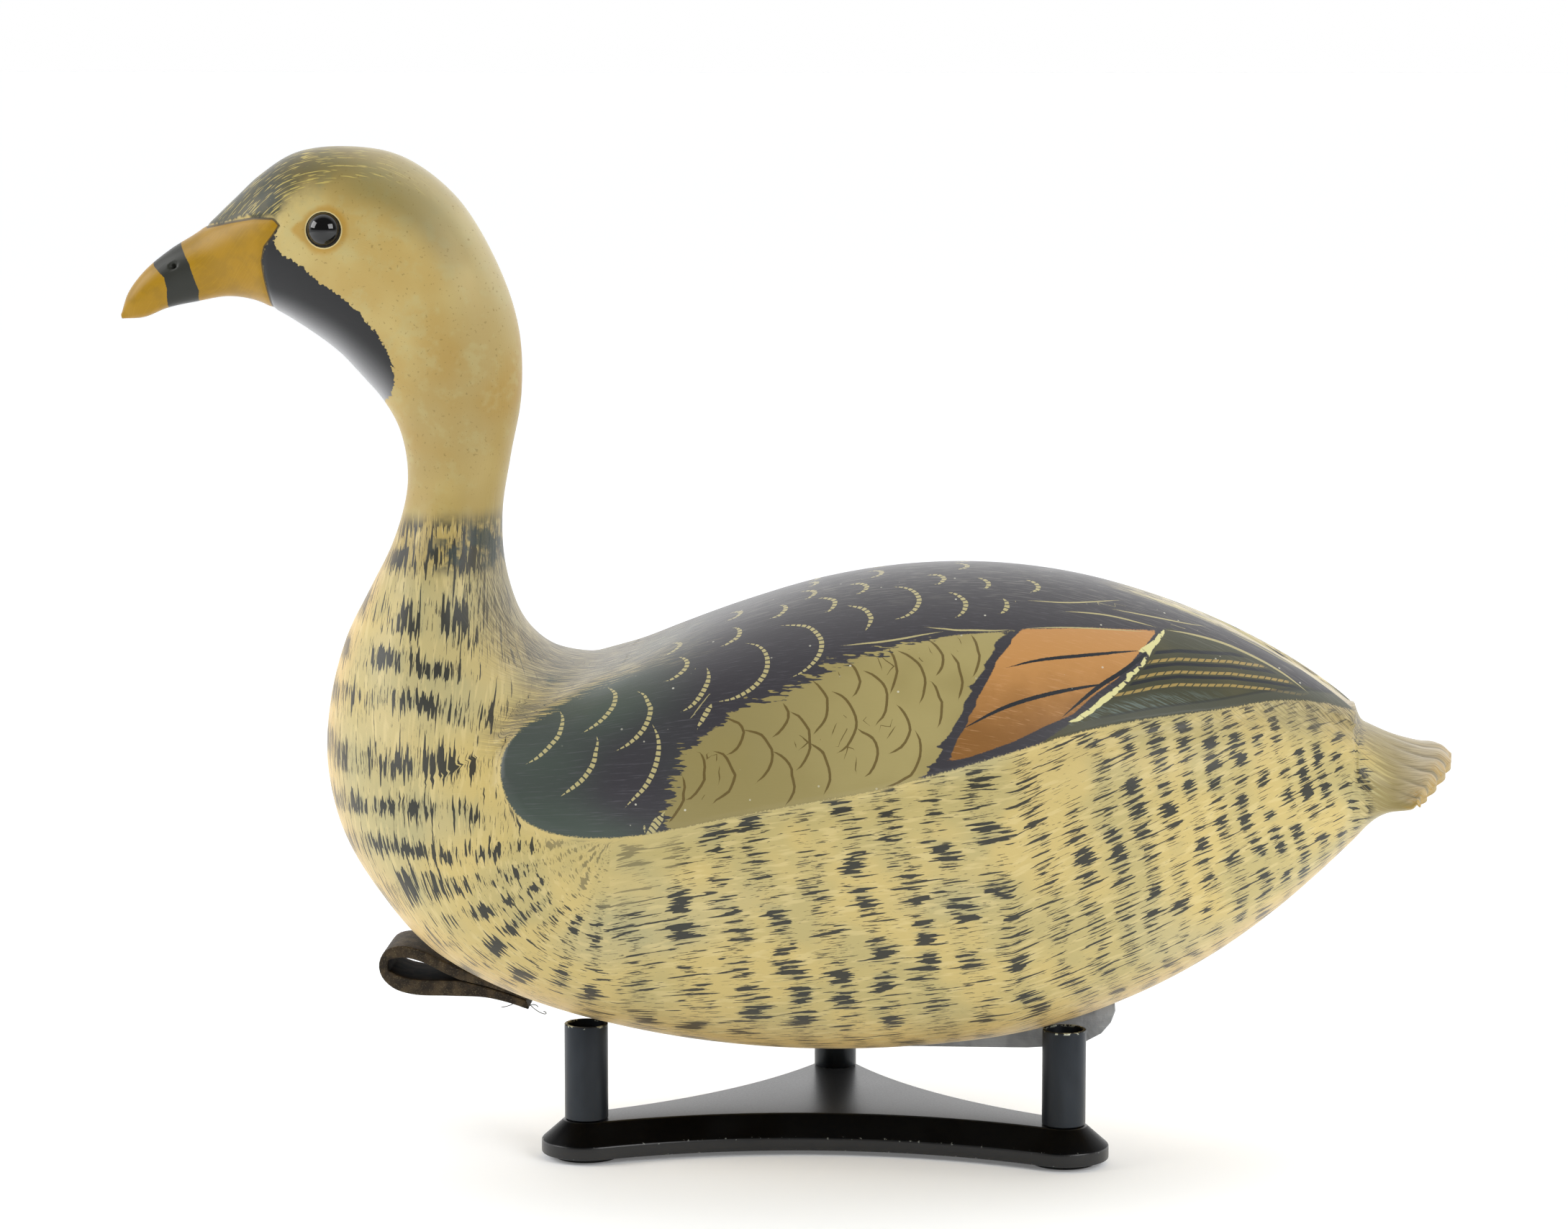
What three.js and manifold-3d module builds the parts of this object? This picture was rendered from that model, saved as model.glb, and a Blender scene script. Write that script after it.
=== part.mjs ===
// A carved and painted floating decoy of a long-necked water bird, resting on a three-post display stand.
// Millimetres, +Z up. The bill points along -X and the bird's mirror plane is y = 0.
// The origin is on the ground, in the mirror plane, half-way between the bill's tip and the tail's tip.

import * as THREE from "three";
import { mergeVertices } from "three/addons/utils/BufferGeometryUtils.js";
import Module from "manifold-3d";

const wasm = await Module();
wasm.setup();

const { sin, cos, abs, sign, sqrt, exp, min, max, PI } = Math;
const lerp = THREE.MathUtils.lerp;
const fitGap = 0.3;

// Driving dimensions of the bird

// Sections of the carving, from the bill's tip to the tail's tip. Each one is a closed oval ring between
// a point on the back line and a point on the front or belly line, both [x, z] in the mirror plane.
// half is its half-width, top and low are the fullness of its two halves (2 is an ellipse).
const sections = [
  { back: [-244.9, 308.2], front: [-244.6, 306.2], half: 1.6, top: 2, low: 2 },
  { back: [-242.2, 315.8], front: [-236.5, 306.8], half: 4.6, top: 2, low: 2 },
  { back: [-236.0, 323.9], front: [-227.5, 310.3], half: 6.4, top: 2, low: 2.2 },
  { back: [-226.6, 331.6], front: [-217.0, 312.6], half: 8.2, top: 2, low: 2.2 },
  { back: [-214.0, 339.6], front: [-205.0, 314.6], half: 11, top: 2, low: 2.1 },
  { back: [-203.0, 349.6], front: [-194.8, 313.2], half: 16, top: 2, low: 2 },
  { back: [-192.0, 359.6], front: [-185.6, 309.0], half: 20.5, top: 2, low: 2 },
  { back: [-179.0, 367.4], front: [-175.4, 302.8], half: 23.5, top: 2.1, low: 2 },
  { back: [-161.0, 369.6], front: [-164.0, 294.4], half: 25, top: 2.2, low: 2 },
  { back: [-141.0, 366.2], front: [-155.4, 285.4], half: 25, top: 2.2, low: 2 },
  { back: [-121.5, 352.2], front: [-148.0, 276.8], half: 23.5, top: 2.2, low: 2 },
  { back: [-107.0, 329.6], front: [-142.8, 267.8], half: 21.5, top: 2.1, low: 2 },
  { back: [-98.2, 304.4], front: [-140.0, 257.6], half: 19, top: 2, low: 2 },
  { back: [-97.2, 279.0], front: [-139.4, 246.4], half: 17.5, top: 2, low: 2 },
  { back: [-101.4, 256.0], front: [-141.0, 236.8], half: 17.5, top: 2, low: 2 },
  { back: [-104.6, 235.0], front: [-145.4, 223.4], half: 21, top: 2, low: 2 },
  { back: [-103.4, 214.0], front: [-153.4, 207.4], half: 31, top: 2, low: 2 },
  { back: [-96.6, 195.0], front: [-162.2, 189.6], half: 41, top: 2, low: 2 },
  { back: [-86.0, 185.4], front: [-168.0, 167.6], half: 52.5, top: 2.1, low: 2.1 },
  { back: [-70.0, 183.6], front: [-169.2, 143.4], half: 63, top: 2.2, low: 2.2 },
  { back: [-54.0, 186.6], front: [-163.0, 119.4], half: 72, top: 2.2, low: 2.4 },
  { back: [-36.0, 194.0], front: [-149.6, 97.2], half: 79, top: 2.2, low: 2.5 },
  { back: [-14.0, 202.6], front: [-130.0, 75.8], half: 84, top: 2.1, low: 2.6 },
  { back: [14.0, 211.4], front: [-98.0, 58.8], half: 85, top: 2, low: 2.7 },
  { back: [44.0, 216.6], front: [-54.0, 46.4], half: 85.5, top: 2, low: 2.7 },
  { back: [75.0, 217.6], front: [-4.0, 40.2], half: 85, top: 2, low: 2.7 },
  { back: [105.0, 214.2], front: [46.0, 40.5], half: 82.5, top: 2, low: 2.6 },
  { back: [133.0, 207.0], front: [92.0, 46.6], half: 76, top: 2, low: 2.5 },
  { back: [157.0, 198.0], front: [128.0, 58.6], half: 67, top: 2, low: 2.3 },
  { back: [178.0, 187.8], front: [157.0, 73.6], half: 54.5, top: 2.1, low: 2.2 },
  { back: [196.0, 177.2], front: [181.0, 90.8], half: 43, top: 2.1, low: 2.1 },
  { back: [209.2, 167.2], front: [202.2, 109.8], half: 31, top: 2.1, low: 2 },
  { back: [209.8, 165.2], front: [209.0, 116.6], half: 29.5, top: 2, low: 2 },
  { back: [221.3, 156.5], front: [219.6, 129.0], half: 31, top: 2, low: 2, droop: 6.4 },
  { back: [233.0, 152.5], front: [231.0, 135.1], half: 36.2, top: 2, low: 2, droop: 8.6, sweep: 4.4 },
  { back: [240.8, 151.4], front: [240.0, 143.4], half: 38.6, top: 2, low: 2, droop: 11.2, sweep: 11 },
  { back: [244.9, 148.1], front: [244.9, 145.3], half: 38.8, top: 2, low: 2, droop: 11.7, sweep: 14.4 },
];
const ringsPerGap = 2;
const pointsPerRing = 44;

// Tail fan: feathers lie side by side on its upper side, each one step along the ring apart
const featherRelief = 0.9;
const featherRootSection = 32;
const scallopDepth = 1.4;

// Wing outline as points [x, z] seen from the side, from the shoulder's crest round the front to the tip
const wingOutline = [
  [-34, 193], [-52, 184.6], [-66, 179], [-80, 172], [-91, 165], [-97, 155.5], [-96, 145.5], [-91, 137],
  [-82, 131.6], [-68, 129.2], [-50, 129.8], [-18, 136.4], [8, 141.6], [34, 146.4], [60, 153], [84, 159.6],
  [109, 166.4], [134, 170], [158, 171.6], [175, 172.9], [186, 172.3], [196, 170.4], [209.3, 165.8],
];
const wingTip = wingOutline.at(-1);
const wingCrest = wingOutline[0];
const aboveBack = 260;

// The ground round the wing is carved down: a steep step at the wing's lower edge, a softer one in front
const wingStepDepth = 2.6;
const wingStepSpread = 11;
const wingStepWidth = 2.2;
const wingFrontWidth = 7;
const wingHighestTurn = 0.2 * PI;
const wingLeadIn = 0.11;

// Glass eyes
const eyeCentre = new THREE.Vector3(-165.9, 0, 340.4);
const eyeRadius = 6.5;
const eyeInset = 2.6;

// Keel weight: side outline as [x, z], cut back to the belly afterwards
const weightOutline = [
  [24, 39.6], [40, 38.9], [90, 38.9], [108, 40.6], [116, 43.4], [120.5, 47.5], [123, 54.5], [121, 66],
  [24, 60],
];
const weightHalfWidth = 13;
const weightRounding = 3.5;

// Leather loop: outer outline as [x, z], from the tacked end along the top, round the nose and back
const loopOutline = [
  [-92.5, 56], [-98.5, 58], [-111, 62.8], [-125.4, 69], [-134.5, 73.4], [-142, 74.9], [-147.6, 73.2],
  [-150.2, 68.4], [-149.4, 63.4], [-145, 58.9], [-137.6, 56.6], [-124, 56.2], [-111, 55.8], [-102.4, 54],
  [-94.5, 51.4],
];
const leatherThickness = 4.6;
const loopGapEnds = [-145.4, -114];
const loopWidth = 30;

// Driving dimensions of the stand
const standCentreX = 16;
const postSpacing = 175.4;
const nearPostY = -29;
const farPostY = 60.4;
const postRadius = 8;
const postWall = 1.2;
const postTopZ = 49.9;
const footHeight = 2;
const footRadius = 12;
const rimHeight = 4.8;
const chamferRise = 7.5;
const chamferRun = 8.4;
const plateTopZ = footHeight + rimHeight + chamferRise;
const topCornerRadius = 8.2;
const sideArcRadius = 195;

// Materials

const paintedWood = new THREE.MeshStandardMaterial({ color: "#cdbf86", roughness: 0.45, metalness: 0 });
const blackGlass = new THREE.MeshStandardMaterial({ color: "#050506", roughness: 0.05, metalness: 0 });
const darkLeather = new THREE.MeshStandardMaterial({ color: "#3a2f22", roughness: 0.6, metalness: 0 });
const paintedLead = new THREE.MeshStandardMaterial({ color: "#4e5052", roughness: 0.6, metalness: 0.2 });
const blackMetal = new THREE.MeshStandardMaterial({ color: "#1b1e1e", roughness: 0.35, metalness: 0.5 });
const greyTube = new THREE.MeshStandardMaterial({ color: "#3b3f44", roughness: 0.4, metalness: 0.5 });

// Shared helpers

function geometryFromFaces(points, faces) {
  const geometry = new THREE.BufferGeometry();
  geometry.setAttribute("position", new THREE.Float32BufferAttribute(points.flat(), 3));
  geometry.setIndex(faces.flat());
  return geometry;
}

function toSolid(geometry) {
  const bare = geometry.clone();
  bare.deleteAttribute("normal");
  bare.deleteAttribute("uv");
  const merged = mergeVertices(bare, 1e-4);
  const vertProperties = Float32Array.from(merged.attributes.position.array);
  const triVerts = Uint32Array.from(merged.index.array);
  return new wasm.Manifold(new wasm.Mesh({ numProp: 3, vertProperties, triVerts }));
}

function fromSolid(solid) {
  const mesh = solid.getMesh();
  const geometry = new THREE.BufferGeometry();
  geometry.setAttribute("position", new THREE.Float32BufferAttribute(mesh.vertProperties, 3));
  geometry.setIndex(Array.from(mesh.triVerts));
  return geometry;
}

function named(name, geometry, material) {
  const mesh = new THREE.Mesh(geometry, material);
  mesh.name = name;
  return mesh;
}

// The carved bird

function sectionCurve(pick) {
  return new THREE.CatmullRomCurve3(sections.map(pick), false, "centripetal");
}
const backLine = sectionCurve((s) => new THREE.Vector3(s.back[0], 0, s.back[1]));
const frontLine = sectionCurve((s) => new THREE.Vector3(s.front[0], 0, s.front[1]));
const lastSection = sections.length - 1;

// A plain number of the sections, such as half, read between them with a smooth step
function sectionValue(t, key) {
  const at = min(max(t, 0), 1) * lastSection;
  const first = min(Math.floor(at), lastSection - 1);
  const valueAt = (i) => sections[min(max(i, 0), lastSection)][key] ?? 0;
  const [a, b, c, d] = [first - 1, first, first + 1, first + 2].map(valueAt);
  const f = at - first;
  const bend = (3 * (b - c) + d - a) * f + 2 * a - 5 * b + 4 * c - d;
  return b + 0.5 * f * (c - a + f * bend);
}

// A point of the carving's smooth surface: t runs from bill to tail, turn from the back to the belly
function surfacePoint(t, turn) {
  const back = backLine.getPoint(t);
  const front = frontLine.getPoint(t);
  const fullness = cos(turn) > 0 ? sectionValue(t, "top") : sectionValue(t, "low");
  const up = sign(cos(turn)) * abs(cos(turn)) ** (2 / fullness);
  const out = sign(sin(turn)) * abs(sin(turn)) ** (2 / fullness);
  const point = front.clone().lerp(back, 0.5 + 0.5 * up);
  point.y = -out * sectionValue(t, "half");
  point.z -= sectionValue(t, "droop") * out * out;
  point.x -= sectionValue(t, "sweep") * out * out;
  return point;
}

function surfaceNormal(t, turn) {
  const step = 0.002;
  const alongT = surfacePoint(min(t + step, 1), turn).sub(surfacePoint(max(t - step, 0), turn));
  const alongTurn = surfacePoint(t, turn + step).sub(surfacePoint(t, turn - step));
  return alongTurn.cross(alongT).normalize();
}

// The wing's outline seen from the side, closed over the back for the test of what lies inside it
const wingPath = new THREE.CatmullRomCurve3(
  wingOutline.map(([x, z]) => new THREE.Vector3(x, 0, z)), false, "centripetal").getSpacedPoints(90);
const overBack = [wingTip, wingCrest].map(([x]) => new THREE.Vector3(x, 0, aboveBack));
const wingLoop = [...wingPath, ...overBack];

function insideWing(x, z) {
  let inside = false;
  wingLoop.forEach((a, i) => {
    const b = wingLoop[(i + 1) % wingLoop.length];
    if (a.z > z !== b.z > z && x < ((b.x - a.x) * (z - a.z)) / (b.z - a.z) + a.x) {
      inside = !inside;
    }
  });
  return inside;
}

// How deep the ground beside the wing is carved at [x, z], rising to the full depth over stepWidth
function carvedDepth(x, z, stepWidth) {
  const away = min(...wingPath.map((p) => Math.hypot(p.x - x, p.z - z)));
  return wingStepDepth * THREE.MathUtils.smoothstep(away, 0, stepWidth) * exp(-((away / wingStepSpread) ** 2));
}

// The turn at which the ring at t, followed up from the belly, meets the wing's lower edge
function wingEdgeTurn(t) {
  const steps = 300;
  for (let k = steps; k > 0; k -= 1) {
    const turn = (k / steps) * PI;
    const point = surfacePoint(t, turn);
    if (insideWing(point.x, point.z)) {
      return max(turn, wingHighestTurn);
    }
  }
  return null;
}

const ringCount = lastSection * ringsPerGap + 1;
const ringPlaces = Array.from({ length: ringCount }, (_, ring) => ring / (ringCount - 1));
const wingFront = ringPlaces.find((t) => wingEdgeTurn(t) !== null);
const wingFrontTurn = wingEdgeTurn(wingFront);

// One ring: its middle row follows the wing's edge, and the row below it is the foot of the carved step
function carvedRing(t, fan, atTailTip) {
  const half = pointsPerRing / 2;
  const edgeRow = half / 2;
  const found = wingEdgeTurn(t);
  const ahead = min(abs(t - wingFront) / wingLeadIn, 1);
  const edgeTurn = found ?? (t < wingFront ? lerp(wingFrontTurn, PI / 2, ahead) : PI / 2);
  const evenTurn = (PI - edgeTurn) / (half - edgeRow);
  const stepTurn = found ? wingStepWidth / sectionValue(t, "half") : evenTurn;
  const rows = [];
  for (let k = 0; k <= half; k += 1) {
    const below = (k - edgeRow - 1) / (half - edgeRow - 1);
    let turn = (edgeTurn * k) / edgeRow;
    if (k > edgeRow) {
      turn = lerp(edgeTurn + stepTurn, PI, below);
    }
    const point = surfacePoint(t, turn);
    const onEdge = k === edgeRow && found;
    if (!onEdge && !insideWing(point.x, point.z)) {
      const stepWidth = found && k > edgeRow ? wingStepWidth : wingFrontWidth;
      point.addScaledVector(surfaceNormal(t, turn), -carvedDepth(point.x, point.z, stepWidth));
    }
    const ridge = k % 2 === 0 ? 0.5 : -0.5;
    if (k < edgeRow) {
      point.z += ridge * featherRelief * fan;
    }
    if (atTailTip && ridge < 0) {
      point.x -= scallopDepth;
    }
    rows.push(point);
  }
  const farSide = rows.slice(1, half).reverse().map((p) => new THREE.Vector3(p.x, -p.y, p.z));
  return [...rows, ...farSide].map((p) => p.toArray());
}

function carvingSolid() {
  const points = ringPlaces.flatMap((t) => {
    const fan = min(max((t * lastSection - featherRootSection) / 2, 0), 1);
    return carvedRing(t, fan, t === 1);
  });
  const faces = [];
  const at = (ring, k) => ring * pointsPerRing + (k % pointsPerRing);
  for (let ring = 0; ring < ringCount - 1; ring += 1) {
    for (let k = 0; k < pointsPerRing; k += 1) {
      faces.push([at(ring, k), at(ring + 1, k + 1), at(ring + 1, k)]);
      faces.push([at(ring, k), at(ring, k + 1), at(ring + 1, k + 1)]);
    }
  }
  // Closed ends: a fan at the bill's tip, and strips across the thin edge of the tail
  const tip = points.length;
  points.push([-245, 0, 307.2]);
  for (let k = 0; k < pointsPerRing; k += 1) {
    faces.push([tip, at(0, k + 1), at(0, k)]);
  }
  const last = ringCount - 1;
  const half = pointsPerRing / 2;
  for (let k = 0; k < half; k += 1) {
    const upper = [at(last, k), at(last, k + 1)];
    const lower = [at(last, pointsPerRing - k), at(last, pointsPerRing - k - 1)];
    if (k > 0) {
      faces.push([lower[0], upper[0], upper[1]]);
    }
    if (k < half - 1) {
      faces.push([lower[0], upper[1], lower[1]]);
    }
  }
  return toSolid(geometryFromFaces(points, faces));
}

// The place on the near side of the surface that is seen from the side at [x, z]
function surfaceAt(x, z, guess) {
  let best = null;
  let reachT = 0.16;
  let reachTurn = 0.9;
  let { t, turn } = guess;
  for (let round = 0; round < 9; round += 1) {
    for (let i = -6; i <= 6; i += 1) {
      for (let j = -6; j <= 6; j += 1) {
        const tryT = min(max(t + (i / 6) * reachT, 0), 1);
        const tryTurn = min(max(turn + (j / 6) * reachTurn, 0.02), PI - 0.02);
        const point = surfacePoint(tryT, tryTurn);
        const miss = (point.x - x) ** 2 + (point.z - z) ** 2;
        if (best === null || miss < best.miss) {
          best = { miss, t: tryT, turn: tryTurn, point };
        }
      }
    }
    t = best.t;
    turn = best.turn;
    reachT *= 0.45;
    reachTurn *= 0.45;
  }
  return best;
}

function eyePlaces() {
  const found = surfaceAt(eyeCentre.x, eyeCentre.z, { t: 0.22, turn: 1.2 });
  const normal = surfaceNormal(found.t, found.turn);
  const near = found.point.clone().addScaledVector(normal, -eyeInset);
  return { near, far: new THREE.Vector3(near.x, -near.y, near.z) };
}

function ball(radius) {
  const geometry = new THREE.SphereGeometry(radius, 16, 10);
  geometry.rotateX(PI / 2);
  return geometry;
}

const eyes = eyePlaces();
let bird = carvingSolid();
for (const place of [eyes.near, eyes.far]) {
  bird = bird.subtract(toSolid(ball(eyeRadius + fitGap)).translate(place.toArray()));
}

// Keel weight, cut to the belly with a small gap

function keelWeight() {
  const shape = new THREE.Shape(weightOutline.map(([x, z]) => new THREE.Vector2(x, z)));
  const geometry = new THREE.ExtrudeGeometry(shape, {
    depth: 2 * (weightHalfWidth - weightRounding),
    bevelEnabled: true,
    bevelSize: weightRounding,
    bevelOffset: -weightRounding,
    bevelThickness: weightRounding,
    bevelSegments: 3,
  });
  geometry.rotateX(PI / 2);
  geometry.translate(0, weightHalfWidth - weightRounding, 0);
  return fromSolid(toSolid(geometry).subtract(bird.translate([0, 0, -fitGap])));
}

// Leather loop: a strap folded into a teardrop, its two plies tacked together under the breast

function leatherLoop() {
  const outer = new THREE.SplineCurve(loopOutline.map(([x, z]) => new THREE.Vector2(x, z)));
  const outline = outer.getPoints(40);
  const shape = new THREE.Shape(outline);
  const [noseX, crotchX] = loopGapEnds;
  const upperEdge = outline.slice(0, 20);
  const lowerEdge = outline.slice(20);
  const heightAt = (edge, x) => {
    const nearest = edge.reduce((a, b) => (abs(b.x - x) < abs(a.x - x) ? b : a));
    return nearest.y;
  };
  const gapSteps = 8;
  const gap = [];
  for (let i = 0; i <= gapSteps; i += 1) {
    const x = lerp(crotchX, noseX, i / gapSteps);
    gap.push([x, heightAt(upperEdge, x) - leatherThickness, heightAt(lowerEdge, x) + leatherThickness]);
  }
  const open = gap.filter(([, top, low]) => top - low > 0.4);
  const hole = new THREE.Path([
    ...open.map(([x, top]) => new THREE.Vector2(x, top)),
    ...open.reverse().map(([x, , low]) => new THREE.Vector2(x, low)),
  ]);
  shape.holes.push(hole);
  const geometry = new THREE.ExtrudeGeometry(shape, { depth: loopWidth, bevelEnabled: false });
  geometry.rotateX(PI / 2);
  geometry.translate(0, loopWidth / 2, 0);
  return geometry;
}

// Stand

const postPlaces = {
  left: [standCentreX - postSpacing / 2, nearPostY],
  right: [standCentreX + postSpacing / 2, nearPostY],
  rear: [standCentreX, farPostY],
};

// One outline of the plate: a round corner about each post, joined by hollow arcs
function plateOutline(cornerRadius) {
  const grow = cornerRadius - topCornerRadius;
  const corners = [postPlaces.left, postPlaces.right, postPlaces.rear].map(([x, y]) => new THREE.Vector2(x, y));
  const hollows = corners.map((corner, i) => {
    const next = corners[(i + 1) % 3];
    const middle = corner.clone().add(next).multiplyScalar(0.5);
    const chord = next.clone().sub(corner);
    const reach = sqrt((sideArcRadius + topCornerRadius) ** 2 - (chord.length() / 2) ** 2);
    const outward = new THREE.Vector2(chord.y, -chord.x).normalize();
    return middle.addScaledVector(outward, reach);
  });
  const outline = [];
  const cornerSteps = 9;
  const sideSteps = 12;
  corners.forEach((corner, i) => {
    const from = hollows[(i + 2) % 3].clone().sub(corner).angle();
    let to = hollows[i].clone().sub(corner).angle();
    if (to < from) {
      to += 2 * PI;
    }
    for (let k = 0; k < cornerSteps; k += 1) {
      const angle = lerp(from, to, k / cornerSteps);
      outline.push([corner.x + cornerRadius * cos(angle), corner.y + cornerRadius * sin(angle)]);
    }
    const hollow = hollows[i];
    const next = corners[(i + 1) % 3];
    const start = corner.clone().sub(hollow).angle();
    let stop = next.clone().sub(hollow).angle();
    if (stop > start) {
      stop -= 2 * PI;
    }
    for (let k = 0; k < sideSteps; k += 1) {
      const angle = lerp(start, stop, k / sideSteps);
      const radius = sideArcRadius - grow;
      outline.push([hollow.x + radius * cos(angle), hollow.y + radius * sin(angle)]);
    }
  });
  return outline;
}

function standPlate() {
  const rimRadius = topCornerRadius + chamferRun;
  const levels = [
    { radius: rimRadius, z: footHeight },
    { radius: rimRadius, z: footHeight + rimHeight },
    { radius: topCornerRadius, z: plateTopZ },
  ];
  const loops = levels.map(({ radius, z }) => plateOutline(radius).map(([x, y]) => [x, y, z]));
  const count = loops[0].length;
  const points = loops.flat();
  const faces = [];
  for (let level = 0; level < loops.length - 1; level += 1) {
    for (let k = 0; k < count; k += 1) {
      const a = level * count + k;
      const b = level * count + ((k + 1) % count);
      faces.push([a, b, b + count], [a, b + count, a + count]);
    }
  }
  const cap = (loop, offset, flip) => {
    const flat = loop.map(([x, y]) => new THREE.Vector2(x, y));
    for (const [a, b, c] of THREE.ShapeUtils.triangulateShape(flat, [])) {
      faces.push(flip ? [offset + a, offset + c, offset + b] : [offset + a, offset + b, offset + c]);
    }
  };
  cap(loops[0], 0, true);
  cap(loops[2], 2 * count, false);
  return geometryFromFaces(points, faces);
}

function standPost() {
  const inner = postRadius - postWall;
  const low = plateTopZ + fitGap;
  const profile = [[inner, low], [postRadius, low], [postRadius, postTopZ], [inner, postTopZ], [inner, low]];
  const geometry = new THREE.LatheGeometry(profile.map(([r, z]) => new THREE.Vector2(r, z)), 24);
  geometry.rotateX(PI / 2);
  return geometry;
}

function standFoot() {
  const height = footHeight - fitGap;
  const geometry = new THREE.CylinderGeometry(footRadius, footRadius, height, 24);
  geometry.rotateX(PI / 2);
  geometry.translate(0, 0, height / 2);
  return geometry;
}

// The assembled decoy

const decoy = new THREE.Group();
decoy.add(named("carved_bird", fromSolid(bird), paintedWood));
decoy.add(named("keel_weight", keelWeight(), paintedLead));
decoy.add(named("leather_loop", leatherLoop(), darkLeather));

for (const [side, place] of [["left", eyes.near], ["right", eyes.far]]) {
  const eye = named(`eye_${side}`, ball(eyeRadius), blackGlass);
  eye.position.copy(place);
  decoy.add(eye);
}

decoy.add(named("stand_plate", standPlate(), blackMetal));
for (const [where, [x, y]] of Object.entries(postPlaces)) {
  const post = named(`stand_post_${where}`, standPost(), greyTube);
  post.position.set(x, y, 0);
  decoy.add(post);
  const foot = named(`stand_foot_${where}`, standFoot(), blackMetal);
  foot.position.set(x, y, 0);
  decoy.add(foot);
}

export default decoy;
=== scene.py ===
# %% [markdown]
# # A carved and painted grebe decoy on its stand
# A decoy is a floating wooden bird. This one is a single carving with glass eyes, painted by hand and
# varnished, with a lead weight on its keel and a leather loop for the anchor line. It rests on a black
# stand with three tube posts. Lengths are typed in millimetres, as a carver would measure them.

# %% Load the measured model
import math
import bpy
import numpy as np
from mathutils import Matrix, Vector


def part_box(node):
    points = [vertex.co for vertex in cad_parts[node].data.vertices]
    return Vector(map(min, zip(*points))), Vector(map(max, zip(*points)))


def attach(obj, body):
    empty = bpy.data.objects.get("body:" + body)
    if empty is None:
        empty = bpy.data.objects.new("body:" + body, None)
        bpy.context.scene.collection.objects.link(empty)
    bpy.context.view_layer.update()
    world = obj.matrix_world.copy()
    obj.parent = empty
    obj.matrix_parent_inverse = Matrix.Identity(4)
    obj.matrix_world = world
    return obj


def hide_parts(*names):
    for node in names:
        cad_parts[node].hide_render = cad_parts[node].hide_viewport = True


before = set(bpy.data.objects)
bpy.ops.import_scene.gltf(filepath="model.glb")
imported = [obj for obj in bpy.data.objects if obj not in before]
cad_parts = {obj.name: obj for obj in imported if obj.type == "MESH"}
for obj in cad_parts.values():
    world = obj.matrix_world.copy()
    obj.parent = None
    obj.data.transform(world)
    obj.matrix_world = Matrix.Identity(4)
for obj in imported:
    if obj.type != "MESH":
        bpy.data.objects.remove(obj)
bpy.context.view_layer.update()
MM = 0.001
print("measured nodes:", sorted(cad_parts))

# %% [markdown]
# ## The camera
# The photograph was taken from the bird's left, a little above the back, with a long lens. A long lens
# keeps the outline close to a flat side view. The picture is 2179 pixels wide, and the focal length in
# pixels becomes a lens length on Blender's 36 mm sensor.

# %% Camera
PICTURE_WIDTH = 2179
FOCAL_PIXELS = 6280
SENSOR_WIDTH = 36
camera_round = math.radians(3.2)
camera_above = math.radians(7.6)
camera_distance = 1.666
look_at = Vector((-0.0005, 0, 0.198))
forward = Vector((-math.sin(camera_round) * math.cos(camera_above),
                  math.cos(camera_round) * math.cos(camera_above), -math.sin(camera_above)))
bpy.ops.object.camera_add(location=look_at - camera_distance * forward,
                          rotation=forward.to_track_quat("-Z", "Y").to_euler())
camera = bpy.context.object
camera.name = "camera"
camera.data.sensor_width = SENSOR_WIDTH
camera.data.lens = FOCAL_PIXELS / PICTURE_WIDTH * SENSOR_WIDTH
camera.data.clip_end = 50
bpy.context.scene.camera = camera
print("lens mm:", round(camera.data.lens, 1))

# %% [markdown]
# ## Small tools for modelling
# An operator acts on everything that is selected, so each step first picks its own object. Modifiers are
# applied at once, so a finished piece is a plain mesh.

# %% Modelling helpers
def pick(piece):
    """Makes one object the only selected and active one."""
    bpy.ops.object.select_all(action="DESELECT")
    piece.select_set(True)
    bpy.context.view_layer.objects.active = piece


def new_piece(name, primitive, **settings):
    """Adds a primitive while nothing else is selected, and names it."""
    bpy.ops.object.select_all(action="DESELECT")
    primitive(**settings)
    piece = bpy.context.object
    piece.name = piece.data.name = name
    return piece


def apply_modifier(piece, kind, **settings):
    pick(piece)
    modifier = piece.modifiers.new(kind, kind)
    for key, value in settings.items():
        setattr(modifier, key, value)
    bpy.ops.object.modifier_apply(modifier=modifier.name)


def bevel(piece, width, segments, degrees=30):
    """Rounds every edge that turns by more than the angle; the width is in millimetres."""
    apply_modifier(piece, "BEVEL", width=width * MM, segments=segments, limit_method="ANGLE",
                   angle_limit=math.radians(degrees))


def smooth_under(piece, degrees):
    """Hides the edges that turn by less than the angle."""
    pick(piece)
    bpy.ops.object.shade_smooth_by_angle(angle=math.radians(degrees))


def face_outward(piece):
    """Turns all faces of a closed piece to the outside."""
    pick(piece)
    bpy.ops.object.mode_set(mode="EDIT")
    bpy.ops.mesh.select_all(action="SELECT")
    bpy.ops.mesh.normals_make_consistent(inside=False)
    bpy.ops.object.mode_set(mode="OBJECT")


def settle(piece, material, slot, *nodes):
    """Gives a finished piece its paint and its place in the model."""
    pick(piece)
    bpy.ops.object.transform_apply(location=True, rotation=True, scale=True)
    piece.data.materials.clear()
    piece.data.materials.append(material)
    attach(piece, "root")
    if nodes:
        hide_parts(*nodes)
    print(piece.name, "faces:", len(piece.data.polygons))


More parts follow.
